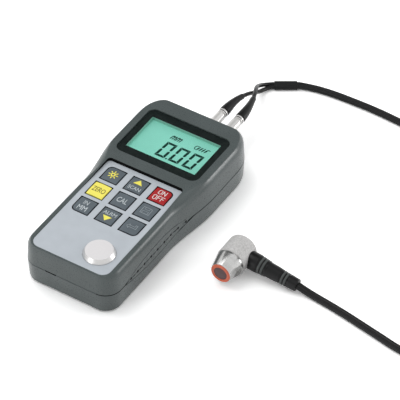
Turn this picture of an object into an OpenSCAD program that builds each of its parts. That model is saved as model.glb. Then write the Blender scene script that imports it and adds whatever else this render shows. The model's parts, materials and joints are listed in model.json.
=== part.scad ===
// Handheld ultrasonic thickness gauge with a right-angle twin-element probe.
// The gauge lies on its back: X across, Y from the foot to the head, Z up from the back face.

/* [Case] */
// Length of the case
case_l = 150; // [144:1:160]
// Width of the head at the parting line
head_w = 72.5; // [70:0.5:76]
// Width of the grip at the parting line
grip_w = 63; // [61:0.5:66]
// Height of the head's front face above the back
face_z = 30.2; // [29.5:0.1:31.5]
// Drop from the head's face to the label
label_step = 2; // [1.6:0.1:2.4]
// Height of the grip's face above the label
rim_h = 0.1; // [0.05:0.05:0.2]
// Height of the parting line above the back
parting_z = 14.2; // [13:0.1:15]
// Wall thickness of the shells
wall = 2.4; // [2:0.1:2.8]
// Thickness of the front shell's roof under the label
roof_t = 2; // [1.8:0.1:2.4]
// Lean of the walls from the parting line to their far edge
draft = 0.6; // [0.2:0.1:1]
// Height of the sloped shoulder under the face
shoulder_h = 5.7; // [5:0.1:6.2]
// Width of the shoulder on the head
head_shoulder = 3.3; // [2.5:0.1:4]
// Width of the shoulder on the grip's sides
grip_shoulder = 4.9; // [4:0.1:5.2]
// Width of the shoulder at the head's end
head_end_shoulder = 3.3; // [2.8:0.1:3.8]
// Width of the shoulder at the foot's end
foot_end_shoulder = 1.9; // [1.6:0.1:2.4]
// Rounding of the back edge
back_r = 2; // [1:0.25:2.25]
// Corner radius of the foot in plan
foot_corner_r = 10.5; // [9:0.5:12]
// Width of a head corner in plan
head_corner_w = 13; // [11:0.5:15]
// Length of a head corner in plan
head_corner_l = 20; // [16:0.5:22]
// Length of the head from the top end to the step above the label
head_l = 64; // [63:0.2:65]
// Length of the curve from grip width to head width
waist_l = 42; // [36:1:46]
// Width of the slot in the foot wall's parting line
slot_w = 7.6; // [7:0.1:8.2]
// Height of the slot in the foot wall's parting line
slot_h = 0.9; // [0.6:0.1:1.2]
// Bevel of both shells along the parting line
parting_bevel = 0.35; // [0.2:0.05:0.5]

/* [Side grips] */
// Length of a side grip
lens_l = 70; // [60:1:74]
// Height of a side grip
lens_h = 9.4; // [8:0.2:11]
// Spacing of the finger scallops
scallop_pitch = 7.05; // [6.5:0.05:7.6]
// Width of a finger scallop
scallop_w = 6; // [4:0.1:6.2]
// Depth of the finger scallops
scallop_depth = 0.2; // [0.15:0.05:0.4]
// Width of the line round a side grip
lens_line = 0.35; // [0.25:0.05:0.5]
// Diameter of the dimples along a side grip
dimple_d = 1.1; // [0.8:0.1:1.4]

/* [Display] */
// Width of the window
window_w = 57.5; // [56:0.1:58.5]
// Length of the window along the case
window_l = 42.2; // [41.5:0.1:43]
// Corner radius of the window
window_r = 5; // [3:0.25:6]
// Thickness of the window
window_t = 0.6; // [0.5:0.05:0.8]
// Depth of the window below the face
window_sink = 0.1; // [0.05:0.05:0.2]
// Distance from the top end to the window's middle
window_from_top = 34.8; // [34.4:0.05:35.2]
// Thickness of the black mask under the window
mask_t = 0.4; // [0.3:0.05:0.5]
// Width of the visible display
view_w = 48.8; // [47:0.1:50]
// Length of the visible display along the case
view_l = 30; // [29:0.1:31]
// Distance from the top end to the display's middle
view_from_top = 34.6; // [34.2:0.05:35]
// Border of the display glass around its visible field
lcd_border = 3; // [2:0.1:3.2]
// Thickness of the display glass
lcd_t = 1.6; // [1.2:0.1:2]
// Depth of the display glass below the face
lcd_depth = 3; // [2.8:0.1:3.4]

/* [Keypad] */
// Width of the label
label_w = 52.6; // [51.5:0.1:53.5]
// Gap from the label's lower edge to the foot end
label_foot_gap = 2.7; // [2.5:0.1:3.5]
// Gap from the step to the label's upper edge
label_head_gap = 0.5; // [0.3:0.05:0.7]
// Radius of the label's lower corners
label_foot_r = 5.5; // [3:0.25:7]
// Radius of the label's upper corners
label_head_r = 2.25; // [1:0.25:3]
// Thickness of the label panel
panel_t = 0.5; // [0.4:0.05:0.6]
// Width of a key
key_w = 10.9; // [10:0.1:12]
// Dark gap round each key
key_gap = 0.5; // [0.35:0.05:0.6]
// Spacing of the key columns
key_pitch_x = 16.6; // [16:0.1:17]
// Gap between two rows of keys
key_row_gap = 4; // [3.6:0.05:4.4]
// Gap from the step to the first key row
key_head_gap = 4.95; // [4.5:0.05:5.4]
// Gap from the last key row to the disc
key_disc_gap = 12.5; // [12:0.05:13]
// Radius of the key group's four outer corners
key_r = 2.6; // [1:0.1:3.5]
// Height of a key's edge above the label
key_proud = 0.3; // [0.1:0.05:0.4]
// Crown of a key over its middle
key_crown = 0.35; // [0.2:0.05:0.5]
// Travel of a key
key_travel = 0.5; // [0.3:0.05:0.6]
// Distance from a key's edge to its stem
stem_inset = 2.45; // [2:0.05:3]

/* [Calibration disc] */
// Diameter of the disc
disc_d = 19.7; // [19:0.1:20.4]
// Diameter of the disc's top face
disc_top_d = 16.6; // [16:0.1:17.2]
// Height of the disc above the label
disc_h = 2.9; // [2.6:0.1:3.3]
// Height of the disc's straight side above the label
disc_band = 0.5; // [0.3:0.1:0.8]
// Depth of the disc's seat below the panel
disc_sink = 1; // [0.6:0.1:1.2]
// Disc's middle right of the centre line
disc_x = 12.5; // [12:0.1:13.2]
// Disc's middle above the foot end
disc_from_foot = 17.1; // [16.5:0.1:17.8]

/* [Batteries] */
// Diameter of a cell
cell_d = 14.5; // [14:0.1:14.5]
// Length of a cell
cell_l = 50.5; // [49:0.1:50.5]
// Distance from the foot end to the cells
cell_from_foot = 14.6; // [14.5:0.1:16]
// Thickness of the battery cover
cover_t = 1.8; // [1.5:0.05:1.9]
// Depth of the cover below the back face
cover_sink = 0.3; // [0.2:0.05:0.4]
// Clearance of the sliding cover
cover_clear = 0.2; // [0.15:0.05:0.25]
// Reach of the cover's side tongues
tongue_w = 1.5; // [1.2:0.1:1.8]

/* [Plugs] */
// Spacing of the two plugs
plug_pitch = 11.4; // [10.8:0.1:12.5]
// Middle of the pair right of the centre line
plug_x = 9.5; // [8:0.1:10.5]
// Height of the plug axes above the back
plug_z = 19; // [18.6:0.1:19.4]
// Diameter of a plug's sliding sleeve
sleeve_d = 6.4; // [6.2:0.1:6.8]
// Length of a plug's sliding sleeve
sleeve_l = 10.4; // [9:0.1:11.5]
// Diameter of a plug's core
core_d = 5; // [4.6:0.1:5.2]
// Travel of a plug's sliding sleeve
sleeve_travel = 1; // [0.8:0.1:1.2]
// Length of a plug's rear nut
nut_l = 2.5; // [2:0.1:3]
// Diameter of a plug boot at the nut
boot_d = 6.6; // [6.2:0.1:7]

/* [Cable] */
// Diameter of one lead
lead_d = 2.6; // [2.4:0.1:2.8]
// Mean diameter of the stored coil
coil_d = 58; // [56:1:62]

/* [Probe] */
// Diameter of the probe housing
probe_d = 18.6; // [18:0.1:19.4]
// Length of the probe housing
housing_l = 16.6; // [16:0.1:18]
// Length of the probe nose
nose_l = 10.8; // [10:0.1:12]
// Diameter of the nose at its front
nose_d = 13.4; // [13:0.1:14]
// Outer diameter of the insulating ring
ring_d = 12.6; // [12:0.1:12.8]
// Diameter of the wear face
wear_d = 9.8; // [9:0.1:10.4]
// Distance from the probe axis to the end of its boot
boot_reach = 40.6; // [39:0.1:42]
// Largest diameter of the probe boot
probe_boot_d = 11.2; // [10.4:0.1:12]
// Smallest diameter of the probe boot
probe_boot_end_d = 7.6; // [7:0.1:8]

/* [Hidden] */
$fn = 72;
eps = 0.01;
head_y = case_l / 2;
foot_y = -case_l / 2;
step_y = head_y - head_l;
waist_shift = 3;
waist_y = step_y - waist_shift;
label_z = face_z - label_step;
rim_z = label_z + rim_h;
shoulder_z = face_z - shoulder_h;
panel_floor_z = label_z - panel_t;
roof_z = panel_floor_z - roof_t;
seat_gap = 0.1;

// Points on an outline's arcs and on its waist curve
corner_steps = 9;
waist_steps = 12;

// Colours of the pieces
case_grey = "#5a6160";
mask_black = "#1c2423";
lcd_green = "#7fcdb8";
label_silver = "#c0c4cc";
key_grey = "#5c666c";
rubber_black = "#26292a";
metal = "#d8d8d6";

// Outline of the case and the loft through its rings

function ease(t) = t * t * (3 - 2 * t);

function corner(cx, cy, rx, ry, from) =
    [for (i = [0:corner_steps]) let(a = from + 90 * i / corner_steps) [cx + rx * cos(a), cy + ry * sin(a)]];

// Right half of an outline: foot corner, waist curve, head corner
function half_outline(grip, head, foot, top, foot_r, head_r, waist) = concat(
    corner(grip - foot_r, foot + foot_r, foot_r, foot_r, -90),
    [for (i = [0:waist_steps]) let(t = i / waist_steps)
        [grip + (head - grip) * ease(t), waist[0] + (waist[1] - waist[0]) * t]],
    corner(head - head_r[0], top - head_r[1], head_r[0], head_r[1], 0));

function both_halves(half) = concat(half, [for (i = [len(half) - 1:-1:0]) [-half[i][0], half[i][1]]]);

waist_span = [waist_y - waist_l / 2, waist_y + waist_l / 2];
crease_foot = 7.6;
crease_head = 14.4;
crease_span = [step_y - crease_foot, step_y + crease_head];

// Outline at the parting line, moved in by a distance
function case_outline(inset) = both_halves(half_outline(
    grip_w / 2 - inset, head_w / 2 - inset, foot_y + inset, head_y - inset, foot_corner_r - inset,
    [head_corner_w - inset, head_corner_l - inset], waist_span));

// Outline of the crease where the shoulder meets the face
crease_outline = both_halves(half_outline(
    grip_w / 2 - grip_shoulder, head_w / 2 - head_shoulder,
    foot_y + foot_end_shoulder, head_y - head_end_shoulder, foot_corner_r - foot_end_shoulder,
    [head_corner_w - head_end_shoulder, head_corner_l - head_end_shoulder], crease_span));

// Half width of the case at the parting line
function wall_x(y) = let(t = min(1, max(0, (y - waist_span[0]) / waist_l)))
    grip_w / 2 + (head_w - grip_w) / 2 * ease(t);

function between(a, b, t) = [for (i = [0:len(a) - 1]) a[i] + (b[i] - a[i]) * t];

function lifted(outline, z) = [for (p = outline) [p[0], p[1], z]];

module loft(rings) {
    n = len(rings[0]);
    last = (len(rings) - 1) * n;
    points = [for (ring = rings) each ring];
    sides = [for (r = [0:len(rings) - 2], i = [0:n - 1]) let(j = (i + 1) % n, low = r * n, high = low + n)
        each [[low + i, high + i, high + j], [low + i, high + j, low + j]]];
    ends = [[for (i = [0:n - 1]) i], [for (i = [n - 1:-1:0]) last + i]];
    polyhedron(points, concat(sides, ends), convexity = 4);
}

// Lofts run a little past the flat faces at their ends, and are cut there
module between_planes(low, high) {
    intersection() {
        children();
        translate([-case_l, -case_l, low]) cube([2 * case_l, 2 * case_l, high - low]);
    }
}

// Section of the shoulder: how far towards the crease, and how far up. The last step runs past the face
shoulder_steps = [[0.07, 0.22], [0.22, 0.46], [0.4, 0.64], [0.74, 0.88], [0.9, 0.97], [1.1, 1.03]];

module front_form() {
    top_wall = case_outline(draft);
    shoulder = [for (s = shoulder_steps)
        lifted(between(top_wall, crease_outline, s[0]), shoulder_z + shoulder_h * s[1])];
    between_planes(parting_z, face_z) loft(concat(
        [lifted(case_outline(2 * parting_bevel), parting_z - parting_bevel),
            lifted(case_outline(0), parting_z + parting_bevel), lifted(top_wall, shoulder_z)],
        shoulder));
}

// Rings that round the back edge: how far in and how far up, in radii. The first lies below the back face
back_steps = [[1.5, -0.134], [0.5, 0.134], [0.134, 0.5], [0, 1]];

module rear_form() {
    between_planes(0, parting_z) loft(concat(
        [for (s = back_steps) lifted(case_outline(draft + back_r * s[0]), back_r * s[1])],
        [lifted(case_outline(0), parting_z - parting_bevel),
            lifted(case_outline(2 * parting_bevel), parting_z + parting_bevel)]));
}

module case_cavity(from, to) {
    translate([0, 0, from]) linear_extrude(to - from) polygon(case_outline(wall + draft));
}

// Side grips: finger scallops inside a lens on both sides of the parting line

lens_r = (pow(lens_l / 2, 2) + pow(lens_h / 2, 2)) / lens_h;
lens_head_gap = 1.6;
lens_y = step_y - lens_head_gap - lens_l / 2;
scallop_r = pow(scallop_w, 2) / (8 * scallop_depth);
scallops = floor(lens_l / scallop_pitch);

dimple_depth = scallop_depth + dimple_d / 2;

function scallop_y(i) = lens_y + (i - (scallops - 1) / 2) * scallop_pitch;

module lens_2d(grow) {
    intersection_for(side = [-1, 1])
        translate([0, side * (lens_r - lens_h / 2)]) circle(lens_r + grow, $fn = 180);
}

// Stands a flat form on the right wall, from a distance inside the grip's widest line
module on_wall(from) {
    translate([from, lens_y, parting_z]) rotate([90, 0, 90]) linear_extrude(head_w) children();
}

module side_grip_cut() {
    for (side = [-1, 1]) scale_x(side) {
        intersection() {
            on_wall(grip_w / 2 - wall) lens_2d(0);
            for (i = [0:scallops - 1]) {
                x = wall_x(scallop_y(i)) - scallop_depth + scallop_r;
                translate([x, scallop_y(i), parting_z - lens_h]) cylinder(h = 2 * lens_h, r = scallop_r);
            }
        }
        for (i = [0:scallops - 1])
            translate([wall_x(scallop_y(i)) - dimple_depth, scallop_y(i), parting_z])
                rotate([0, 90, 0]) cylinder(h = 2 * wall, d = dimple_d, $fn = 16);
        lens_line_cut();
    }
}

// A shallow groove along the lens, cut down to an outline just inside the wall
module lens_line_cut() {
    difference() {
        on_wall(grip_w / 2 - wall) difference() {
            lens_2d(lens_line);
            lens_2d(0);
        }
        translate([0, 0, parting_z - lens_h]) linear_extrude(2 * lens_h) polygon(case_outline(draft));
    }
}

// A slot that parts the shells, left of the middle of the foot wall
slot_x = -10.4;
slot_depth = 1.2;

module foot_slot_cut() {
    translate([slot_x, foot_y, parting_z]) cube([slot_w, 2 * (draft + slot_depth), slot_h], center = true);
}

module scale_x(side) {
    if (side > 0) children();
    else mirror([1, 0, 0]) children();
}

// Case screws and their bosses

screw_d = 2.9;
screw_hole_d = 3.1;
screw_head_d = 5.6;
screw_head_h = 2;
screw_recess = 3;
boss_d = 7.4;
rear_boss_d = 8.4;
boss_sink = 0.4;
boss_inset = wall + draft + boss_d / 2 - boss_sink;
foot_boss_shift = [1.2, 13];
head_boss_shift = [2.6, 10.4];
boss_foot = [grip_w / 2 - boss_inset - foot_boss_shift[0], foot_y + foot_boss_shift[1]];
boss_head = [head_w / 2 - boss_inset - head_boss_shift[0], head_y - head_boss_shift[1]];
boss_spots = [for (p = [boss_foot, boss_head], side = [-1, 1]) [side * p[0], p[1]]];
screw_tip_gap = 3;
screw_tip_z = roof_z - screw_tip_gap;
screw_hole_past = 0.5;
screw_head_clear = 0.3;

// Display

window_y = head_y - window_from_top;
view_y = head_y - view_from_top;
window_z = face_z - window_sink - window_t;
mask_z = window_z - mask_t;
view_margin = 0.7;
lcd_w = view_w + 2 * lcd_border;
lcd_l = view_l + 2 * lcd_border;
lcd_gap = 0.2;
lcd_z = face_z - lcd_depth - lcd_t;
backlight_inset = 1;

// Rounded plate with a radius of its own at each corner, from lower left anticlockwise
module plate_2d(w, l, radii) {
    difference() {
        square([w, l], center = true);
        for (k = [0:3]) if (radii[k] > 0) {
            sx = (k == 1 || k == 2) ? 1 : -1;
            sy = k > 1 ? 1 : -1;
            translate([sx * w / 2, sy * l / 2]) difference() {
                square(2 * radii[k], center = true);
                translate([-sx * radii[k], -sy * radii[k]]) circle(radii[k]);
            }
        }
    }
}

// Label, keys and disc

label_top = step_y - label_head_gap;
label_bottom = foot_y + label_foot_gap;
label_l = label_top - label_bottom;
label_y = (label_top + label_bottom) / 2;
label_radii = [label_foot_r, label_foot_r, label_head_r, label_head_r];
disc_y = foot_y + disc_from_foot;
disc_chamfer = 0.2;

// The three key rows share the length between the step and the disc
key_field_l = step_y - key_head_gap - disc_y - disc_d / 2 - key_disc_gap;
key_l = (key_field_l - 2 * key_row_gap) / 3;
key_pitch_y = key_l + key_row_gap;
key_stem = key_l - 2 * stem_inset;

function key_place(column, row) =
    [(column - 1) * key_pitch_x, step_y - key_head_gap - key_l / 2 - row * key_pitch_y];

// Only the key group's four outer corners are round
function key_radii(column, row, grow) = [
    column == 0 && row == 2 ? key_r + grow : 0, column == 2 && row == 2 ? key_r + grow : 0,
    column == 2 && row == 0 ? key_r + grow : 0, column == 0 && row == 0 ? key_r + grow : 0];

module key_2d(column, row, grow) {
    translate(key_place(column, row))
        plate_2d(key_w + 2 * grow, key_l + 2 * grow, key_radii(column, row, grow));
}

module all_keys_2d(grow) {
    for (column = [0:2], row = [0:2]) key_2d(column, row, grow);
}

// Battery compartment

cell_clear = 0.25;
cell_x = cell_d / 2 + cell_clear;
cell_z = cover_sink + cover_t + cell_clear + cell_d / 2;
contact_room = 3;
tub_wall = 1.5;
tub_w = 2 * (cell_d + 2 * cell_clear);
tub_foot = foot_y + cell_from_foot - contact_room;
tub_head = foot_y + cell_from_foot + cell_l + contact_room;
tub_top = cell_z + cell_d / 2 + cell_clear;
tub_size = [tub_w + 2 * tub_wall, tub_head - tub_foot + 2 * tub_wall, tub_top + tub_wall - wall / 2];
cover_lap = [1.8, 1.2];
cover_w = tub_w + 2 * cover_lap[0];
cover_head = tub_head + cover_lap[1];
cover_slot_z = cover_sink + cover_t + cover_clear;
tongue_z = 0.8;
tongue_t = 0.7;

// Sockets and plugs

core_clear = 0.05;
socket_d = 6.9;
socket_hole_d = 7.1;
flange_t = 1.5;
flange_d = 9.2;
socket_face_y = head_y + seat_gap + flange_t;
socket_depth = 13;
plug_depth = 7;
sleeve_gap = 0.6;
sleeve_chamfer = 0.3;
sleeve_start = socket_face_y + sleeve_gap;
nut_start = sleeve_start + sleeve_l + sleeve_travel + seat_gap;
nut_step = 0.15;
nut_d = sleeve_d - 2 * nut_step;
boot_start = nut_start + nut_l + seat_gap;
plug_spots = [plug_x - plug_pitch / 2, plug_x + plug_pitch / 2];

// Main board under the display and the keys

board_t = 1.6;
board_gap = 0.4;
board_z = tub_top + tub_wall + board_gap;
board_top = board_z + board_t;
board_w = 50;
board_past_keys = 9;
board_head_gap = 17.5;
board_foot = key_place(0, 2)[1] - key_l / 2 - board_past_keys;
board_head = head_y - board_head_gap;
dome_sheet_t = 0.3;
dome_d = 7;
dome_h = 0.35;
dome_top = board_top + dome_sheet_t + dome_h;
dome_clear = 0.15;
key_foot_z = dome_top + key_travel + dome_clear;
key_top = label_z + key_proud;
key_cap_t = 1.8;

// Routes of the leads, by hand
// Bend of each plug boot from its nut to its end
boot_bends = [
    [[0, 0, 0], [0, 5, 0], [0.1, 10, -0.2], [0.5, 15.5, -0.8], [1, 20.6, -1.9]],
    [[0, 0, 0], [-0.2, 5, 0], [-0.9, 11, -0.2], [-2.2, 17, -0.8], [-3.6, 22, -1.6]]];
left_points = [[5.2, 117.5, 14.8], [4.9, 123.5, 11], [4.1, 129, 7], [3.6, 134, 3.6], [4.3, 139, 1.9],
    [5.6, 142.2, 1.6]];
right_points = [[9.2, 119, 16.2], [6.3, 125, 13.8], [3.7, 130.5, 10.2], [2, 136, 6.2], [2.2, 141, 3.2],
    [4, 144.4, 1.9]];
sleeve_mid = [13.4, 149.4, 1.7];
sleeve_turn = 32.4;
sleeve_size = [14.4, 6.6, 3.4];
gauge_points = [[27, 156.2, 1.3], [35, 157.8, 1.3], [45, 158.8, 1.3], [57, 159.2, 1.3], [70, 159.3, 1.3],
    [84, 158.6, 1.3], [98, 157.2, 1.3], [112, 154.6, 1.3], [126, 150.2, 1.3], [140, 144, 1.3],
    [153, 137.2, 1.3], [165, 132, 1.3]];
probe_points = [[117, 1.2, 2.2], [125, 0.6, 1.4], [134, -0.5, 1.3], [145, -2.2, 1.3], [157, -4.4, 1.3],
    [170, -6.8, 1.3], [182, -9, 1.3], [193, -9.6, 1.3], [202.5, -7, 1.3], [209.5, -0.5, 1.3], [213, 9, 1.3],
    [214, 20, 1.3], [213.6, 35, 1.3], [212.6, 50, 1.3], [211.4, 66, 1.3], [210.6, 84, 1.3]];
coil_centre = [178, 98];

twin_w = 2 * lead_d;
boot_end_d = lead_d + 1;
cord_sides = 8;
boot_sides = 12;
// Gap from a cord's end to the piece that holds it, and its straight run into the join sleeve
cord_seat = 0.05;
cord_lead_in = 1.2;

// Cords and boots are swept tubes

function unit(v) = v / norm(v);

function heading(path, i) = unit(path[min(i + 1, len(path) - 1)] - path[max(i - 1, 0)]);

// Ring of points round a path; sizes are its half width and half height
function tube_ring(path, i, size, sides) =
    let(ahead = heading(path, i), across = unit(cross(ahead, [0, 0, 1])), rise = cross(across, ahead))
    [for (k = [0:sides - 1]) let(a = 360 * (k + 0.5) / sides)
        path[i] + across * size[0] * cos(a) + rise * size[1] * sin(a)];

// Rings run against the path, so that the sides of the loft face outwards
module tube(path, sizes, sides) {
    count = len(path);
    loft([for (i = [count - 1:-1:0]) tube_ring(path, i, is_list(sizes[0]) ? sizes[i] : sizes, sides)]);
}

module plug_boot_sweep(k) {
    path = [for (p = boot_bends[k]) [plug_spots[k], boot_start, plug_z] + p];
    last = len(path) - 1;
    radii = [for (i = [0:last]) boot_d / 2 + (boot_end_d - boot_d) / 2 * ease(i / last)];
    tube(path, [for (r = radii) [r, r]], boot_sides);
}

function boot_tip(k) = [plug_spots[k], boot_start, plug_z] + boot_bends[k][len(boot_bends[k]) - 1];

// A point in line with the join sleeve: at which end, on which side of its middle, and how far out
function sleeve_end(along, across, out) = sleeve_mid
    + along * (sleeve_size[0] / 2 + out) * [cos(sleeve_turn), sin(sleeve_turn), 0]
    + across * lead_d / 2 * [-sin(sleeve_turn), cos(sleeve_turn), 0];

module lead(k, points, across) {
    start = boot_tip(k) + cord_seat * unit(points[0] - boot_tip(k));
    ends = [for (out = [cord_lead_in, cord_seat]) sleeve_end(-1, across, out)];
    tube(concat([start], points, ends), [lead_d / 2, lead_d / 2], cord_sides);
}

module oval_2d(w, t) {
    square([w - t, t], center = true);
    for (side = [-1, 1]) translate([side * (w - t) / 2, 0]) circle(t / 2);
}

// Places a piece whose own axis is Z along Y, at one plug
module at_plug(k) {
    translate([plug_spots[k], 0, plug_z]) rotate([-90, 0, 0]) children();
}

// Case

module front_shell() {
    color(case_grey) difference() {
        union() {
            difference() {
                front_form();
                case_cavity(parting_z - 1, roof_z);
            }
            for (p = boss_spots) translate([p[0], p[1], parting_z])
                cylinder(h = roof_z - parting_z + eps, d = boss_d);
        }
        ramp_cut();
        label_seat();
        lcd_seat();
        translate([0, 0, parting_z]) linear_extrude(face_z) all_keys_2d(key_gap);
        translate([disc_x, disc_y, panel_floor_z - disc_sink])
            cylinder(h = face_z, d = disc_d + 2 * seat_gap);
        translate([0, window_y, mask_z]) linear_extrude(face_z)
            plate_2d(window_w + 2 * seat_gap, window_l + 2 * seat_gap, [for (k = [0:3]) window_r + seat_gap]);
        translate([0, view_y, parting_z]) linear_extrude(face_z)
            square([view_w + 2 * view_margin, view_l + 2 * view_margin], center = true);
        for (k = [0, 1]) at_plug(k) translate([0, 0, head_y - 3 * wall])
            cylinder(h = 6 * wall, d = socket_hole_d);
        for (p = boss_spots) translate([p[0], p[1], parting_z - 1])
            cylinder(h = 1 + screw_tip_z + screw_hole_past - parting_z, d = screw_hole_d);
        side_grip_cut();
        foot_slot_cut();
    }
}

// The face falls from the head to the grip in a smooth ramp on both sides of the label
ramp_steps = 10;
ramp_foot = 35;
ramp_head = 3;
ramp_span = [step_y - ramp_foot, step_y + ramp_head];

module ramp_cut() {
    above = face_z + 1;
    ramp = [for (i = [0:ramp_steps]) let(t = i / ramp_steps)
        [ramp_span[0] + (ramp_span[1] - ramp_span[0]) * t, rim_z + (face_z - rim_z) * ease(t)]];
    translate([-head_w, 0, 0]) rotate([90, 0, 90]) linear_extrude(2 * head_w)
        polygon(concat([[ramp_span[1], above], [foot_y - 1, above], [foot_y - 1, rim_z]], ramp));
}

// Pocket for the display glass, from below
module lcd_seat() {
    rise = lcd_z + lcd_t + lcd_gap - parting_z;
    translate([0, view_y, parting_z]) linear_extrude(rise)
        square([lcd_w + 2 * lcd_gap, lcd_l + 2 * lcd_gap], center = true);
}

// Seat of the label: it runs up to the step, which leaves a dark groove above the label
module label_seat() {
    length = label_l + seat_gap + label_head_gap;
    translate([0, step_y - length / 2, panel_floor_z]) linear_extrude(face_z)
        plate_2d(label_w + 2 * seat_gap, length, [for (r = label_radii) r + seat_gap]);
}

module rear_shell() {
    color(case_grey) difference() {
        union() {
            difference() {
                rear_form();
                case_cavity(wall, parting_z + 1);
            }
            for (p = boss_spots) translate([p[0], p[1], wall / 2])
                cylinder(h = parting_z - wall / 2, d = rear_boss_d);
            translate([-tub_size[0] / 2, tub_foot - tub_wall, wall / 2]) cube(tub_size);
        }
        translate([-tub_w / 2, tub_foot, -1]) cube([tub_w, tub_head - tub_foot, tub_top + 1]);
        cover_slot();
        for (p = boss_spots) translate([p[0], p[1], -1]) {
            cylinder(h = parting_z + 2, d = screw_hole_d);
            cylinder(h = 1 + screw_recess + screw_head_h, d = screw_head_d + 2 * screw_head_clear);
        }
        side_grip_cut();
        foot_slot_cut();
    }
}

// Room for the cover and its tongues, open at the foot end
module cover_slot() {
    half = cover_w / 2 + cover_clear;
    reach = cover_head + cover_clear - foot_y + 1;
    translate([-half, foot_y - 1, -1]) cube([2 * half, reach, 1 + cover_slot_z]);
    translate([-half - tongue_w, foot_y - 1, tongue_z - cover_clear])
        cube([2 * (half + tongue_w), reach, tongue_t + 2 * cover_clear]);
}

cover_grips = 5;
cover_grip_pitch = 2.4;
cover_grip_from = 9;
cover_grip_depth = 0.5;
cover_foot_gap = 0.2;
cover_foot = foot_y + draft + cover_foot_gap;

// A bar of the cover, with its foot end rounded like the back edge
module cover_bar(w, low, t) {
    edge = [for (i = [len(back_steps) - 1:-1:0]) let(step = back_r * back_steps[i])
        [cover_foot + step[0], step[1]]];
    translate([-w / 2, 0, 0]) rotate([90, 0, 90]) linear_extrude(w) intersection() {
        polygon(concat([[cover_head, -back_r], [cover_head, 2 * back_r], [cover_foot, 2 * back_r]], edge));
        translate([foot_y, low]) square([cover_head - foot_y, t]);
    }
}

module battery_cover() {
    color(case_grey) difference() {
        union() {
            cover_bar(cover_w, cover_sink, cover_t);
            cover_bar(cover_w + 2 * tongue_w, tongue_z, tongue_t);
        }
        for (i = [0:cover_grips - 1])
            translate([-cover_w / 4, cover_foot + cover_grip_from + i * cover_grip_pitch, 0])
                cube([cover_w / 2, cover_grip_pitch / 2, cover_sink + cover_grip_depth]);
    }
}

slot_size = [0.6 * screw_head_d, 0.8, 2];

module case_screws() {
    color(metal) for (p = boss_spots) translate([p[0], p[1], screw_recess]) difference() {
        union() {
            cylinder(h = screw_head_h, d = screw_head_d);
            cylinder(h = screw_tip_z - screw_recess, d = screw_d);
        }
        for (a = [0, 90]) rotate(a) cube(slot_size, center = true);
    }
}

// Display

module display_window() {
    color([0.85, 0.9, 0.9, 0.4]) translate([0, window_y, window_z]) linear_extrude(window_t)
        plate_2d(window_w, window_l, [for (k = [0:3]) window_r]);
}

module display_mask() {
    color(mask_black) translate([0, 0, mask_z]) linear_extrude(mask_t) difference() {
        translate([0, window_y]) plate_2d(window_w, window_l, [for (k = [0:3]) window_r]);
        translate([0, view_y]) square([view_w, view_l], center = true);
    }
}

module lcd_panel() {
    color(lcd_green) translate([-lcd_w / 2, view_y - lcd_l / 2, lcd_z]) cube([lcd_w, lcd_l, lcd_t]);
}

module lcd_backlight() {
    size = [lcd_w - 2 * backlight_inset, lcd_l - 2 * backlight_inset, lcd_z - seat_gap - board_top];
    color("white") translate([-size[0] / 2, view_y - size[1] / 2, board_top]) cube(size);
}

// Keypad

module keypad_panel() {
    color(label_silver) translate([0, 0, panel_floor_z]) linear_extrude(panel_t) difference() {
        translate([0, label_y]) plate_2d(label_w, label_l, label_radii);
        all_keys_2d(key_gap);
        translate([disc_x, disc_y]) circle(d = disc_d + 2 * seat_gap);
    }
}

// A key's crowned cap and the stem that reaches down to its dome
module key(column, row, tint) {
    place = key_place(column, row);
    crown_r = (pow(key_w / 2, 2) + pow(key_crown, 2)) / (2 * key_crown);
    color(tint) {
        intersection() {
            translate([0, 0, key_top - key_cap_t]) linear_extrude(key_cap_t + key_crown)
                key_2d(column, row, 0);
            translate([place[0], place[1], key_top + key_crown - crown_r]) sphere(crown_r, $fn = 200);
        }
        translate([place[0] - key_stem / 2, place[1] - key_stem / 2, key_foot_z])
            cube([key_stem, key_stem, key_top - key_cap_t - key_foot_z + eps]);
    }
}

module dome_sheet() {
    reach_x = 2 * key_pitch_x + key_w;
    reach_y = 2 * key_pitch_y + key_l;
    color("silver") {
        translate([-reach_x / 2, key_place(0, 2)[1] - key_l / 2, board_top])
            cube([reach_x, reach_y, dome_sheet_t]);
        for (column = [0:2], row = [0:2]) {
            place = key_place(column, row);
            translate([place[0], place[1], board_top + dome_sheet_t - eps])
                cylinder(h = dome_h + eps, d1 = dome_d, d2 = dome_d - 2);
        }
    }
}

chip = [14, 14, 1.8];
buzzer_d = 12;
buzzer_h = 5;

module main_board() {
    color("darkgreen") {
        translate([-board_w / 2, board_foot, board_z]) cube([board_w, board_head - board_foot, board_t]);
        translate([-chip[0] / 2, view_y - chip[1] / 2, board_z - chip[2]]) cube(chip + [0, 0, eps]);
        translate([-board_w / 4 - chip[0] / 2, view_y, board_z - buzzer_h])
            cylinder(h = buzzer_h + eps, d = buzzer_d);
    }
}

module calibration_disc() {
    low = panel_floor_z - disc_sink;
    top = label_z + disc_h;
    color(metal) translate([disc_x, disc_y, 0]) rotate_extrude($fn = 96) polygon([
        [0, low], [disc_d / 2, low], [disc_d / 2, label_z + disc_band],
        [disc_top_d / 2 + disc_chamfer, top - disc_chamfer], [disc_top_d / 2, top], [0, top]]);
}

// Batteries and contacts

button_d = 5.5;
button_h = 1.2;

// The left cell's button points to the head, the right cell's to the foot
module cell(side) {
    middle = [side * cell_x, foot_y + cell_from_foot + cell_l / 2, cell_z];
    color(side < 0 ? "goldenrod" : "peru") translate(middle) rotate([side < 0 ? -90 : 90, 0, 0])
        translate([0, 0, -cell_l / 2]) {
            cylinder(h = cell_l - button_h, d = cell_d);
            cylinder(h = cell_l, d = button_d);
        }
}

plate_t = 0.4;
spring_d = 7;
plate_w = cell_d - 2;

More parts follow.
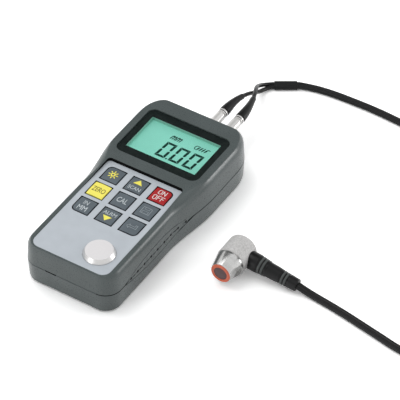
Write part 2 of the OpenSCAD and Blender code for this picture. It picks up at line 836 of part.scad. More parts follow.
// A contact plate standing against one end wall of the compartment
module contact_plate(from_x, to_x, at_foot) {
    y = at_foot ? tub_foot + seat_gap : tub_head - seat_gap - plate_t;
    translate([from_x, y, cell_z - plate_w / 2]) cube([to_x - from_x, plate_t, plate_w]);
}

// Closed stack of turns between a plate and a cell
module contact_coil(side, at_foot) {
    length = contact_room - seat_gap - plate_t - seat_gap;
    y = at_foot ? tub_foot + seat_gap + plate_t - eps : tub_head - contact_room + seat_gap;
    ends = at_foot ? [spring_d + 2, spring_d] : [spring_d, spring_d + 2];
    translate([side * cell_x, y, cell_z]) rotate([-90, 0, 0]) difference() {
        cylinder(h = length + eps, d1 = ends[0], d2 = ends[1]);
        translate([0, 0, -1]) cylinder(h = contact_room + 2, d = spring_d - 2);
    }
}

module contact_pad(side, at_foot) {
    length = contact_room - seat_gap - plate_t - seat_gap;
    y = at_foot ? tub_foot + seat_gap + plate_t - eps : tub_head - contact_room + seat_gap;
    translate([side * cell_x, y, cell_z]) rotate([-90, 0, 0]) cylinder(h = length + eps, d = button_d + 1);
}

module contact_bridge() {
    color(metal) {
        contact_plate(-cell_x - plate_w / 2, cell_x + plate_w / 2, false);
        contact_coil(1, false);
        contact_pad(-1, false);
    }
}

module contact_spring() {
    color(metal) {
        contact_plate(-cell_x - plate_w / 2, -cell_x + plate_w / 2, true);
        contact_coil(-1, true);
    }
}

module contact_button() {
    color(metal) {
        contact_plate(cell_x - plate_w / 2, cell_x + plate_w / 2, true);
        contact_pad(1, true);
    }
}

// Sockets and plugs

module socket(k) {
    color(metal) at_plug(k) difference() {
        union() {
            translate([0, 0, head_y + seat_gap]) cylinder(h = flange_t, d = flange_d);
            translate([0, 0, socket_face_y - socket_depth - flange_t])
                cylinder(h = socket_depth + eps, d = socket_d);
        }
        translate([0, 0, socket_face_y - plug_depth - seat_gap])
            cylinder(h = plug_depth + 1, d = core_d + 2 * core_clear);
    }
}

module plug_core(k) {
    color(metal) at_plug(k) translate([0, 0, socket_face_y - plug_depth])
        cylinder(h = boot_start - seat_gap - socket_face_y + plug_depth, d = core_d);
}

module plug_sleeve(k) {
    r = sleeve_d / 2;
    cut = sleeve_chamfer;
    rim = [[r - cut, 0], [r, cut], [r, sleeve_l - cut], [r - cut, sleeve_l]];
    color(metal) at_plug(k) translate([0, 0, sleeve_start]) difference() {
        rotate_extrude() polygon(concat([[0, 0]], rim, [[0, sleeve_l]]));
        translate([0, 0, -1]) cylinder(h = sleeve_l + 2, d = core_d + 2 * core_clear);
    }
}

nut_flat = 0.3;
nut_rim = 0.375;

module plug_nut(k) {
    color(metal) at_plug(k) translate([0, 0, nut_start]) difference() {
        cylinder(h = nut_l, d = nut_d);
        translate([0, 0, -1]) cylinder(h = nut_l + 2, d = core_d + 2 * core_clear);
        for (side = [-1, 1]) translate([side * (nut_d - nut_flat), 0, nut_l / 2])
            cube([nut_d, nut_d, nut_l - 2 * nut_rim], center = true);
    }
}

module plug_boot(k) {
    color(rubber_black) plug_boot_sweep(k);
}

// Cable

module join_sleeve() {
    color(rubber_black) translate(sleeve_mid) rotate([0, 0, sleeve_turn])
        translate([-sleeve_size[0] / 2, 0, 0]) rotate([90, 0, 90]) linear_extrude(sleeve_size[0])
            oval_2d(sleeve_size[1], sleeve_size[2]);
}

module twin_lead_gauge() {
    start = [for (out = [cord_seat, cord_lead_in]) sleeve_end(1, 0, out)];
    color(rubber_black) tube(concat(start, gauge_points), [twin_w / 2, lead_d / 2], cord_sides);
}

module twin_lead_probe() {
    start = probe_boot_tip + cord_seat * unit(probe_points[0] - probe_boot_tip);
    color(rubber_black) tube(concat([start], probe_points), [twin_w / 2, lead_d / 2], cord_sides);
}

coil_lift = 0.6;
coil_slack = 0.4;
coil_h = 2 * lead_d + coil_slack;
coil_band = 2 * twin_w + coil_slack;
tie_t = 0.5;
tie_w = 8;
tie_gap = 0.05;
tie_slack = 0.5;

module cable_coil() {
    color(rubber_black) translate([coil_centre[0], coil_centre[1], coil_lift]) rotate_extrude()
        translate([coil_d / 2 - coil_band / 2, 0]) square([coil_band, coil_h]);
}

// A strap round the coil's section, on the side away from the leads
module coil_tie() {
    inner = [coil_band + 2 * tie_gap + 2 * tie_slack, coil_h + 2 * tie_gap];
    place = [coil_centre[0] - coil_d / 2, coil_centre[1] + tie_w / 2, coil_lift + coil_h / 2];
    color("dimgray") translate(place) rotate([90, 0, 0]) linear_extrude(tie_w) difference() {
        square([inner[0] + 2 * tie_t, inner[1] + 2 * tie_t], center = true);
        square(inner, center = true);
    }
}

// Probe

probe_x = 70.1;
probe_front_y = -18.6;
probe_axis_z = probe_d / 2;
seam_y = probe_front_y + nose_l;
boot_shift = 0.7;
boot_y = seam_y + housing_l / 2 + boot_shift;
housing_round = 3.4;
housing_chamfer = 0.4;
nose_step = 0.4;
nose_root_d = probe_d - 2 * nose_step;
nose_root_l = 1.6;
nose_chamfer = [0.2, 0.3];
ring_proud = 0.4;
ring_depth = 4;
wear_sink = 0.1;
flat_depth = 0.15;
flat_l = 9;
flat_h = 7.4;
neck_d = 6;
neck_depth = 3;
boot_lift = 0.15;
boot_tilt = asin((probe_axis_z - probe_boot_end_d / 2 - boot_lift) / boot_reach);
probe_boot_tip = [probe_x + boot_reach * cos(boot_tilt), boot_y, probe_axis_z - boot_reach * sin(boot_tilt)];

// Places a piece whose own axis is Z along Y, from the probe's front face
module at_probe() {
    translate([probe_x, probe_front_y, probe_axis_z]) rotate([-90, 0, 0]) children();
}

// Places a piece whose own axis is Z along the probe's boot, from the probe's axis
module along_boot() {
    translate([probe_x, boot_y, probe_axis_z]) rotate([0, 90 + boot_tilt, 0]) children();
}

module probe_housing() {
    r = probe_d / 2;
    back = nose_l + housing_l;
    color(metal) difference() {
        at_probe() rotate_extrude() union() {
            polygon([[0, nose_l], [r - housing_chamfer, nose_l], [r, nose_l + housing_chamfer],
                [r, back - housing_round], [r - housing_round, back - housing_round],
                [r - housing_round, back], [0, back]]);
            intersection() {
                translate([r - housing_round, back - housing_round]) circle(housing_round);
                translate([r - housing_round, back - housing_round]) square(housing_round);
            }
        }
        along_boot() translate([0, 0, r - neck_depth])
            cylinder(h = neck_depth + 2, d = neck_d + 2 * seat_gap);
    }
}

// A cone that ends in a straight band at the seam, with a flat milled on each side
module probe_nose() {
    front = nose_d / 2;
    root = nose_root_d / 2;
    color(metal) at_probe() difference() {
        rotate_extrude() polygon([[0, 0], [front - nose_chamfer[0], 0], [front, nose_chamfer[0]],
            [root, nose_l - nose_root_l], [root, nose_l - nose_chamfer[1]], [root - nose_chamfer[1], nose_l],
            [0, nose_l]]);
        translate([0, 0, -1]) cylinder(h = 1 + ring_depth, d = ring_d + 2 * core_clear);
        for (side = [-1, 1]) translate([side * (front - flat_depth + nose_d / 2), 0, flat_l / 2 - 1])
            cube([nose_d, flat_h, flat_l + 2], center = true);
    }
}

module probe_ring() {
    color("chocolate") at_probe() difference() {
        translate([0, 0, -ring_proud]) cylinder(h = ring_proud + ring_depth - seat_gap, d = ring_d);
        translate([0, 0, -1]) cylinder(h = 2 * ring_depth, d = wear_d + 2 * core_clear);
    }
}

module probe_face() {
    front = ring_proud - wear_sink;
    color("#4a3d3a") at_probe() translate([0, 0, -front])
        cylinder(h = front + ring_depth - seat_gap, d = wear_d);
}

// Lengths along the boot: collar, ring grooves, flat-sided middle, ring grooves, end collar
boot_collar = 4;
boot_grooves = 3;
boot_groove_pitch = 2.2;
boot_groove_t = 0.9;
boot_groove_depth = 0.6;
boot_middle_l = 8.6;
boot_end_cut = 0.3;
// Share of the probe's radius at which the boot starts, share of its own radius that its flats keep,
// and how much sooner than its end its taper is done
boot_root = 0.7;
boot_flat = 0.88;
boot_taper = 1.25;

function boot_r(s) = let(from = probe_d / 2 + boot_collar, t = max(0, s - from) / (boot_reach - from))
    probe_boot_d / 2 + (probe_boot_end_d - probe_boot_d) / 2 * min(1, boot_taper * t);

module probe_boot() {
    r = probe_d / 2;
    first = r + boot_collar;
    middle = first + boot_grooves * boot_groove_pitch;
    second = middle + boot_middle_l;
    stops = [r * boot_root, r, first, middle, second, boot_reach - boot_end_cut];
    color(rubber_black) difference() {
        union() {
            difference() {
                along_boot() rotate_extrude() polygon(concat(
                    [[0, stops[0]]], [for (s = stops) [boot_r(s), s]],
                    [[boot_r(boot_reach) - boot_end_cut, boot_reach], [0, boot_reach]]));
                at_probe() translate([0, 0, nose_l - 1])
                    cylinder(h = housing_l + 2, d = probe_d + 2 * core_clear);
            }
            along_boot() translate([0, 0, r - neck_depth + seat_gap])
                cylinder(h = neck_depth + 2, d = neck_d);
        }
        along_boot() {
            for (s = [first, second], i = [0:boot_grooves - 1])
                translate([0, 0, s + (i + 0.5) * boot_groove_pitch]) rotate_extrude()
                    translate([boot_r(s + (i + 0.5) * boot_groove_pitch) - boot_groove_depth, 0])
                        square([boot_groove_depth + 1, boot_groove_t]);
            for (a = [45:90:315]) rotate(a)
                translate([boot_r(middle) * boot_flat, -probe_boot_d / 2, middle + boot_end_cut])
                    cube([probe_boot_d, probe_boot_d, boot_middle_l - 2 * boot_end_cut]);
        }
    }
}

front_shell();
rear_shell();
battery_cover();
case_screws();
display_window();
display_mask();
lcd_panel();
lcd_backlight();
keypad_panel();
key(0, 0, key_grey);  // key_backlight
key(1, 0, key_grey);  // key_up
key(2, 0, "#b01e24");  // key_power
key(0, 1, "#f7ee6a");  // key_zero
key(1, 1, key_grey);  // key_cal
key(2, 1, key_grey);  // key_save
key(0, 2, key_grey);  // key_units
key(1, 2, key_grey);  // key_down
key(2, 2, key_grey);  // key_enter
dome_sheet();
main_board();
calibration_disc();
cell(-1);  // cell_left
cell(1);  // cell_right
contact_bridge();
contact_spring();
contact_button();
socket(0);  // socket_left
socket(1);  // socket_right
plug_core(0);  // plug_core_left
plug_core(1);  // plug_core_right
plug_sleeve(0);  // plug_sleeve_left
plug_sleeve(1);  // plug_sleeve_right
plug_nut(0);  // plug_nut_left
plug_nut(1);  // plug_nut_right
plug_boot(0);  // plug_boot_left
plug_boot(1);  // plug_boot_right
color(rubber_black) lead(0, left_points, -1);  // lead_left
color(rubber_black) lead(1, right_points, 1);  // lead_right
join_sleeve();
twin_lead_gauge();
twin_lead_probe();
cable_coil();
coil_tie();
probe_housing();
probe_nose();
probe_ring();
probe_face();
probe_boot();
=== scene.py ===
"""Looks of a handheld ultrasonic thickness gauge and its probe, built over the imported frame."""

import json
import logging
import math
from dataclasses import dataclass, field
from enum import Enum
from typing import Callable, Sequence

import bpy
from mathutils import Matrix, Vector

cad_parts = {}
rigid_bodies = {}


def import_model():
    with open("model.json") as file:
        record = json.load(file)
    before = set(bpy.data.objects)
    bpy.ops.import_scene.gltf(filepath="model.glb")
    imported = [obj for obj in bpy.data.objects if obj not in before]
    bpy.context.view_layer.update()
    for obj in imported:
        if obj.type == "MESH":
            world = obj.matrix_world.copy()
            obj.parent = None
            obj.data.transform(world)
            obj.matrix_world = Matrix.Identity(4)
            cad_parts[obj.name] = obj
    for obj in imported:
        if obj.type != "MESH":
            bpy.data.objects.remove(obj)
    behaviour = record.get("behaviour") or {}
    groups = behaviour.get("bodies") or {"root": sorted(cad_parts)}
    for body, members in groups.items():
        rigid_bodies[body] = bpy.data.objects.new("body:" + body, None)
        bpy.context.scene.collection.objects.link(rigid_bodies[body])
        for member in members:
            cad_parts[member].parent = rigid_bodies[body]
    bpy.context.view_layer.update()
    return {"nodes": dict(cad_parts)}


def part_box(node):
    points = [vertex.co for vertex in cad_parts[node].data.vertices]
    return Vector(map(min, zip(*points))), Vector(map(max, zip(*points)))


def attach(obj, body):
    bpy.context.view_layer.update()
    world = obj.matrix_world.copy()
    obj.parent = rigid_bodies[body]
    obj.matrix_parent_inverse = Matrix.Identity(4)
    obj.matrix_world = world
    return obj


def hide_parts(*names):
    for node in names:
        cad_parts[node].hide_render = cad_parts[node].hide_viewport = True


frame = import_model()

LOG = logging.getLogger("thickness_gauge")

Piece = bpy.types.Object
Tree = bpy.types.NodeTree
Node = bpy.types.Node
Point = tuple[float, float, float]
Flat = tuple[float, float]
Outline = list[Flat]
Tint = tuple[int, int, int]
FaceTest = Callable[[Vector, Vector], bool]
Section = Callable[[float], Sequence[Flat]]

# Sizes that several pieces share, in millimetres apart from MM itself, which is in metres
MM = 0.001
MERGE = 0.0005
INK = 0.03
DISC_CENTRE = (12.5, -57.9)

ALONG_Y = Matrix.Rotation(math.radians(-90), 3, "X")


class Body(str, Enum):
    """Bodies that pieces ride on. Keys and plug sleeves ride on bodies named like their nodes."""

    CASE = "case"
    COVER = "battery_cover"


class Side(Enum):
    """The two plugs and their leads, as seen from the foot end."""

    LEFT = "left"
    RIGHT = "right"


# Hand tools


def deselect() -> None:
    """Leaves edit mode and selects nothing."""
    active = bpy.context.view_layer.objects.active
    if active and active.mode != "OBJECT":
        bpy.ops.object.mode_set(mode="OBJECT")
    bpy.ops.object.select_all(action="DESELECT")


def activate(piece: Piece) -> None:
    """Makes a piece the only selected one, and the active one.

    Args:
        piece: The object to work on.
    """
    deselect()
    piece.select_set(True)
    bpy.context.view_layer.objects.active = piece


def edit_all(piece: Piece) -> None:
    """Opens a piece in edit mode with all of it selected.

    Args:
        piece: The object to edit.
    """
    activate(piece)
    bpy.ops.object.mode_set(mode="EDIT")
    bpy.ops.mesh.select_mode(type="VERT")
    bpy.ops.mesh.select_all(action="SELECT")


def done() -> None:
    """Returns to object mode."""
    bpy.ops.object.mode_set(mode="OBJECT")


def pick_faces(piece: Piece, test: FaceTest) -> None:
    """Opens a piece in edit mode with the faces selected that pass a test.

    Args:
        piece: The object to edit.
        test: Takes a face's middle and normal, and says whether it is picked.
    """
    activate(piece)
    bpy.ops.object.mode_set(mode="EDIT")
    bpy.ops.mesh.select_mode(type="FACE")
    bpy.ops.mesh.select_all(action="DESELECT")
    done()
    for face in piece.data.polygons:
        face.select = test(face.center, face.normal)
    bpy.ops.object.mode_set(mode="EDIT")


def apply_all(piece: Piece) -> None:
    """Applies every modifier of a piece, in order.

    Args:
        piece: The object whose modifiers become its mesh.
    """
    activate(piece)
    for modifier in list(piece.modifiers):
        bpy.ops.object.modifier_apply(modifier=modifier.name)


def soften(piece: Piece, width: float, segments: int = 2, angle: float = 40.0) -> None:
    """Rounds a piece's sharp edges with an applied bevel.

    Args:
        piece: The object to round.
        width: Width of the rounding in millimetres.
        segments: Steps across the rounding.
        angle: Edges that turn more than this many degrees are rounded.
    """
    bevel = piece.modifiers.new("soft_edges", "BEVEL")
    bevel.width = width * MM
    bevel.segments = segments
    bevel.limit_method = "ANGLE"
    bevel.angle_limit = math.radians(angle)
    apply_all(piece)


def smooth(piece: Piece, angle: float = 35.0) -> None:
    """Shades a piece smooth, apart from edges sharper than an angle in degrees."""
    activate(piece)
    bpy.ops.object.shade_smooth_by_angle(angle=math.radians(angle))


def merge(piece: Piece, outwards: bool = False) -> None:
    """Merges a piece's doubles.

    Args:
        piece: The object to clean.
        outwards: Whether its faces are turned outwards too.
    """
    edit_all(piece)
    bpy.ops.mesh.remove_doubles(threshold=MERGE * MM)
    if outwards:
        bpy.ops.mesh.normals_make_consistent(inside=False)
    done()


def joined(pieces: Sequence[Piece]) -> Piece:
    """Joins pieces into the first one.

    Args:
        pieces: Objects to join.

    Returns:
        The joined object.
    """
    deselect()
    for piece in pieces:
        piece.select_set(True)
    bpy.context.view_layer.objects.active = pieces[0]
    if len(pieces) > 1:
        bpy.ops.object.join()
    return pieces[0]


def copied(piece: Piece) -> Piece:
    """Copies a piece.

    Args:
        piece: The object to copy.

    Returns:
        The copy, with a mesh of its own.
    """
    activate(piece)
    bpy.ops.object.duplicate(linked=False)
    return bpy.context.view_layer.objects.active


def cut_away(piece: Piece, tool: Piece) -> None:
    """Cuts a tool's shape out of a piece and removes the tool.

    Args:
        piece: The object to cut.
        tool: The object that is cut out of it.
    """
    cut = piece.modifiers.new("cut", "BOOLEAN")
    cut.object = tool
    cut.operation = "DIFFERENCE"
    apply_all(piece)
    bpy.data.objects.remove(tool)


def dress(piece: Piece, finish: "Finish") -> None:
    """Gives a piece one finish all over.

    Args:
        piece: The object to dress.
        finish: Its finish.
    """
    material = finish.material()
    if piece.name in frame["nodes"] and piece.material_slots:
        for material_slot in piece.material_slots:
            material_slot.material = material
        return
    piece.data.materials.clear()
    piece.data.materials.append(material)


def tint_faces(piece: Piece, finish: "Finish", test: FaceTest) -> None:
    """Gives some of a piece's faces a finish of their own.

    Args:
        piece: The dressed object.
        finish: Finish of the picked faces.
        test: Takes a face's middle in millimetres and its normal, and says whether it is picked.
    """
    piece.data.materials.append(finish.material())
    last = len(piece.data.materials) - 1
    for face in piece.data.polygons:
        if test(face.center / MM, face.normal):
            face.material_index = last


def settle(piece: Piece, name: str, finish: "Finish", replaces: Sequence[str] = (),
           body: str = Body.CASE.value) -> Piece:
    """Finishes a piece: its place goes into its mesh, and it gets its name, body and material.

    Args:
        piece: The object to finish.
        name: Its name in the scene.
        finish: Finish that it is dressed in.
        replaces: CAD nodes that it stands for.
        body: CAD body that it rides on.

    Returns:
        The same object.
    """
    activate(piece)
    bpy.ops.object.transform_apply(location=True, rotation=True, scale=True)
    piece.name = name
    piece.data.name = name
    dress(piece, finish)
    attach(piece, body)
    if replaces:
        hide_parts(*replaces)
    LOG.info("built %s (%d faces) on %s", name, len(piece.data.polygons), body)
    return piece


# Ways to make a piece


def node_copy(node: str) -> Piece:
    """Copies a CAD node and merges the copy into one mesh.

    Args:
        node: Name of the CAD node.

    Returns:
        The copy, with a mesh of its own and no parent.
    """
    copy = copied(frame["nodes"][node])
    bpy.ops.object.parent_clear(type="CLEAR_KEEP_TRANSFORM")
    if copy.data.has_custom_normals:
        bpy.ops.mesh.customdata_custom_splitnormals_clear()
    merge(copy)
    return copy


def softened(node: str, width: float = 0.0, segments: int = 2, angle: float = 40.0,
             shade: float = 35.0) -> Piece:
    """Copies a CAD node with plain faces and rounded edges.

    Args:
        node: Name of the CAD node.
        width: Width of the rounding in millimetres, or 0 for none.
        segments: Steps across the rounding.
        angle: Edges that turn more than this many degrees are rounded.
        shade: Sharpest edge in degrees that is shaded smooth.

    Returns:
        The copy.
    """
    coplanar = math.radians(0.3)
    copy = node_copy(node)
    edit_all(copy)
    bpy.ops.mesh.dissolve_limited(angle_limit=coplanar)
    done()
    if width:
        soften(copy, width, segments, angle)
    smooth(copy, shade)
    return copy


def plate(width: float, length: float, middle: Point) -> Piece:
    """Adds a flat plate.

    Args:
        width: Its size along X in metres.
        length: Its size along Y in metres.
        middle: Its middle in metres.

    Returns:
        The plate.
    """
    deselect()
    bpy.ops.mesh.primitive_plane_add(size=1.0)
    piece = bpy.context.view_layer.objects.active
    piece.scale = (width, length, 1.0)
    piece.location = middle
    bpy.ops.object.transform_apply(location=True, rotation=True, scale=True)
    return piece


def turned(profile: Sequence[Flat], steps: int) -> Piece:
    """Spins a profile round Z, as on a lathe.

    Args:
        profile: (radius, height) points in millimetres; ends at radius 0 close the piece.
        steps: Faces round the piece.

    Returns:
        The turned object, standing on Z at the origin.
    """
    deselect()
    bpy.ops.mesh.primitive_plane_add(size=MM)
    piece = bpy.context.view_layer.objects.active
    edit_all(piece)
    bpy.ops.mesh.merge(type="CENTER")
    bpy.ops.transform.translate(value=(profile[0][0] * MM, 0, profile[0][1] * MM))
    for (r0, z0), (r1, z1) in zip(profile, profile[1:]):
        step = ((r1 - r0) * MM, 0, (z1 - z0) * MM)
        bpy.ops.mesh.extrude_vertices_move(TRANSFORM_OT_translate={"value": step})
    bpy.ops.mesh.select_all(action="SELECT")
    bpy.ops.mesh.spin(steps=steps, angle=math.tau, center=(0, 0, 0), axis=(0, 0, 1))
    done()
    merge(piece, outwards=True)
    return piece


def rounded(r: float, z: float, radius: float, start: float, sweep: float, steps: int = 6) -> Outline:
    """Points of an arc round (r, z) in a lathe profile, from a first angle through a sweep in degrees."""
    angles = [math.radians(start + sweep * i / steps) for i in range(steps + 1)]
    return [(r + radius * math.cos(a), z + radius * math.sin(a)) for a in angles]


def placed(piece: Piece, turn: Matrix, at: Point) -> Piece:
    """Turns a piece about the origin and moves it to its place in millimetres."""
    piece.matrix_world = Matrix.Translation(Vector(at) * MM) @ turn.to_4x4()
    return piece


def turned_along(profile: Sequence[Flat], steps: int, shade: float, at: Point) -> Piece:
    """Turns a profile, shades it and lays it along Y.

    Args:
        profile: (radius, distance) points in millimetres.
        steps: Faces round the piece.
        shade: Sharpest edge in degrees that is shaded smooth.
        at: Start of its axis in millimetres.

    Returns:
        The turned object.
    """
    piece = turned(profile, steps)
    smooth(piece, shade)
    return placed(piece, ALONG_Y, at)


def blend_step(value: float, start: float, end: float) -> float:
    """Smooth step that leaves 0 at the start and reaches 1 at the end."""
    t = min(1.0, max(0.0, (value - start) / (end - start)))
    return t * t * (3 - 2 * t)


def smooth_route(points: Sequence[Point], step: float) -> list[Vector]:
    """Runs a smooth curve through the points of a route.

    Args:
        points: Route in millimetres.
        step: Longest distance between the curve's points.

    Returns:
        Points of the curve in millimetres.
    """
    knots = [Vector(p) for p in points]
    knots = [2 * knots[0] - knots[1]] + knots + [2 * knots[-1] - knots[-2]]
    curve = []
    for a, b, c, d in zip(knots, knots[1:], knots[2:], knots[3:]):
        count = max(1, math.ceil((c - b).length / step))
        for i in range(count):
            t = i / count
            curve.append(0.5 * (2 * b + (c - a) * t + (2 * a - 5 * b + 4 * c - d) * t * t
                                + (3 * b - a - 3 * c + d) * t ** 3))
    return curve + [knots[-2]]


def swept(route: Sequence[Vector], section: Section) -> Piece:
    """Sweeps a section along a route into a closed tube.

    Args:
        route: Points in millimetres.
        section: Takes the share of the route that is done, and gives (across, rise) points.

    Returns:
        The tube.
    """
    points, faces = [], []
    last = len(route) - 1
    for i, at in enumerate(route):
        ahead = (route[min(i + 1, last)] - route[max(i - 1, 0)]).normalized()
        across = ahead.cross(Vector((0, 0, 1))).normalized()
        rise = across.cross(ahead)
        points += [(at + across * a + rise * r) * MM for a, r in section(i / last)]
    sides = len(section(0.0))
    for i in range(last):
        for k in range(sides):
            j = (k + 1) % sides
            faces.append((i * sides + k, i * sides + j, (i + 1) * sides + j, (i + 1) * sides + k))
    faces += [tuple(range(sides)), tuple(last * sides + k for k in range(sides))]
    mesh = bpy.data.meshes.new("tube")
    mesh.from_pydata(points, [], faces)
    piece = bpy.data.objects.new("tube", mesh)
    bpy.context.collection.objects.link(piece)
    merge(piece, outwards=True)
    return piece


def ring_section(radius: float, sides: int) -> Outline:
    """Points of a round section."""
    angles = [math.tau * k / sides for k in range(sides)]
    return [(radius * math.cos(a), radius * math.sin(a)) for a in angles]


# Printed marks


def line_marks(points: Sequence[Flat], line: float, closed: bool = False) -> list[Outline]:
    """Draws a line through points as one strip for each stretch.

    Args:
        points: Points of the line in millimetres.
        line: Its width.
        closed: Whether its last point joins its first.

    Returns:
        Corners of each strip.
    """
    stretches = list(zip(points, points[1:]))
    if closed:
        stretches.append((points[-1], points[0]))
    strips = []
    for (x0, y0), (x1, y1) in stretches:
        length = math.hypot(x1 - x0, y1 - y0)
        u, v = (x1 - x0) / length * line / 2, (y1 - y0) / length * line / 2
        strips.append([(x0 - u + v, y0 - v - u), (x1 + u + v, y1 + v - u), (x1 + u - v, y1 + v + u),
                       (x0 - u - v, y0 - v + u)])
    return strips


def shifted(outline: Sequence[Flat], x: float, y: float) -> Outline:
    """Moves an outline."""
    return [(x + a, y + b) for a, b in outline]


def flat_mark(corners: Sequence[Flat], z: float) -> Piece:
    """Makes a flat printed mark from its corners.

    Args:
        corners: Corners in millimetres.
        z: Height in millimetres.

    Returns:
        The mark, facing up.
    """
    deselect()
    bpy.ops.mesh.primitive_circle_add(vertices=len(corners), radius=MM, fill_type="NGON")
    mark = bpy.context.view_layer.objects.active
    for vertex, (x, y) in zip(mark.data.vertices, corners):
        vertex.co = (x * MM, y * MM, z * MM)
    mark.data.update()
    if mark.data.polygons[0].normal.z < 0:
        edit_all(mark)
        bpy.ops.mesh.flip_normals()
        done()
    return mark


def lettering(text: str, width: float, height: float, middle: Point, weight: float = 0.0) -> Piece:
    """Makes flat letters of a given size.

    Args:
        text: The words.
        width: Width in millimetres.
        height: Height in millimetres.
        middle: Their middle in millimetres.
        weight: How much their strokes are thickened, in shares of their size.

    Returns:
        The letters as a mesh.
    """
    deselect()
    bpy.ops.object.text_add()
    letters = bpy.context.view_layer.objects.active
    letters.data.body = text
    letters.data.resolution_u = 3
    letters.data.offset = weight
    bpy.ops.object.convert(target="MESH")
    letters = bpy.context.view_layer.objects.active
    xs = [v.co.x for v in letters.data.vertices]
    ys = [v.co.y for v in letters.data.vertices]
    grow = (width * MM / (max(xs) - min(xs)), height * MM / (max(ys) - min(ys)))
    mid = ((max(xs) + min(xs)) / 2, (max(ys) + min(ys)) / 2)
    for v in letters.data.vertices:
        v.co = ((v.co.x - mid[0]) * grow[0] + middle[0] * MM, (v.co.y - mid[1]) * grow[1] + middle[1] * MM,
                middle[2] * MM)
    merge(letters)
    return letters


def thicken(mark: Piece) -> None:
    """Gives a flat mark the thickness of ink.

    Args:
        mark: The flat mark.
    """
    wall = mark.modifiers.new("ink", "SOLIDIFY")
    wall.thickness = INK * MM
    wall.offset = 1.0
    apply_all(mark)


# Finishes


def linear(tint: Tint) -> tuple[float, float, float, float]:
    """Turns a screen colour of 0 to 255 into the scene's linear red, green and blue, and 1."""
    shares = [c / 255 for c in tint]
    return (*[s / 12.92 if s <= 0.04045 else ((s + 0.055) / 1.055) ** 2.4 for s in shares], 1.0)


def add_node(tree: Tree, kind: str, values: dict[str | int, object] | None = None, does: str = "") -> Node:
    """Adds a shader node.

    Args:
        tree: Node tree of a material or of the world.
        kind: Kind of node, without the words that all kinds begin with.
        values: Constants for its sockets.
        does: What a maths node works out.

    Returns:
        The node.
    """
    node = tree.nodes.new(f"ShaderNode{kind}")
    if does:
        node.operation = does
    for socket, value in (values or {}).items():
        node.inputs[socket].default_value = value
    return node


@dataclass(frozen=True)
class Finish:
    """A moulded, printed or drawn surface with fine grain and faint mottling.

    Attributes:
        name: Name of the material.
        tint: Its colour, 0 to 255.
        roughness: Middle roughness.
        metallic: 1 for metal.
        specular: Strength of the surface reflection.
        grain: Size of the grain in millimetres.
        relief: Height of the grain in millimetres.
        mottle: Share by which the colour varies.
        stretch: How far the grain is drawn out along each axis.
        glow: Strength of its own light.
        swing: How far the grain moves the roughness.
        broad: Size of the mottling in grains.
        blend: Where the mottling begins and ends on its noise.
    """

    name: str
    tint: Tint
    roughness: float = 0.5
    metallic: float = 0.0
    specular: float = 0.5
    grain: float = 0.35
    relief: float = 0.01
    mottle: float = 0.08
    stretch: Point = (1.0, 1.0, 1.0)
    glow: float = 0.0
    swing: float = 0.08
    broad: float = 30.0
    blend: Flat = (0.3, 0.7)

    def material(self) -> bpy.types.Material:
        """Builds the material once, and gives the same one after that.

        Returns:
            The material.
        """
        name = f"finish_{self.name}"
        made = bpy.data.materials.get(name)
        if made:
            return made
        made = bpy.data.materials.new(name)
        made.use_nodes = True
        self.wire(made.node_tree)
        return made

    def wire(self, tree: Tree) -> None:
        """Wires grain, mottling and shader.

        Args:
            tree: The material's node tree.
        """
        shader = tree.nodes["Principled BSDF"]
        shader.inputs["Metallic"].default_value = self.metallic
        shader.inputs["Specular IOR Level"].default_value = self.specular
        if self.glow:
            shader.inputs["Emission Color"].default_value = linear(self.tint)
            shader.inputs["Emission Strength"].default_value = self.glow
        fine = self.noise(tree, self.grain, 3.0)
        mottling = self.shades(tree, self.noise(tree, self.grain * self.broad, 2.0))
        rough = add_node(tree, "MapRange", {"To Min": max(0.02, self.roughness - self.swing),
                                            "To Max": min(1.0, self.roughness + self.swing)})
        tree.links.new(self.bumps(tree, fine).outputs["Normal"], shader.inputs["Normal"])
        tree.links.new(mottling.outputs["Color"], shader.inputs["Base Color"])
        tree.links.new(fine.outputs["Fac"], rough.inputs["Value"])
        tree.links.new(rough.outputs["Result"], shader.inputs["Roughness"])

    def bumps(self, tree: Tree, source: Node) -> Node:
        """Adds the relief of the grain.

        Args:
            tree: The material's node tree.
            source: Noise that drives it.

        Returns:
            The bump node.
        """
        bump = add_node(tree, "Bump", {"Distance": self.relief * MM})
        tree.links.new(source.outputs["Fac"], bump.inputs["Height"])
        return bump

    def noise(self, tree: Tree, size: float, detail: float) -> Node:
        """Adds noise on the piece's own coordinates.

        Args:
            tree: The material's node tree.
            size: Size of the noise in millimetres.
            detail: Its levels of detail.

        Returns:
            The noise node.
        """
        place = add_node(tree, "TexCoord")
        drawn = add_node(tree, "Mapping", {"Scale": tuple(1 / s for s in self.stretch)})
        noise = add_node(tree, "TexNoise", {"Scale": 1 / (size * MM), "Detail": detail})
        tree.links.new(place.outputs["Object"], drawn.inputs["Vector"])
        tree.links.new(drawn.outputs["Vector"], noise.inputs["Vector"])
        return noise

    def shades(self, tree: Tree, source: Node) -> Node:
        """Adds a ramp from a darker to a lighter shade of the tint.

        Args:
            tree: The material's node tree.
            source: Noise that drives it.

        Returns:
            The ramp node.
        """
        ramp = add_node(tree, "ValToRGB")
        base = linear(self.tint)
        for element, position, side in zip(ramp.color_ramp.elements, self.blend, (-1, 1)):
            element.position = position
            element.color = (*[min(1.0, c * (1 + side * self.mottle)) for c in base[:3]], 1.0)
        tree.links.new(source.outputs["Fac"], ramp.inputs["Fac"])
        return ramp


@dataclass(frozen=True)
class InkFinish(Finish):
    """Printed ink, finer than the plastic under it."""

    grain: float = 0.2
    relief: float = 0.002


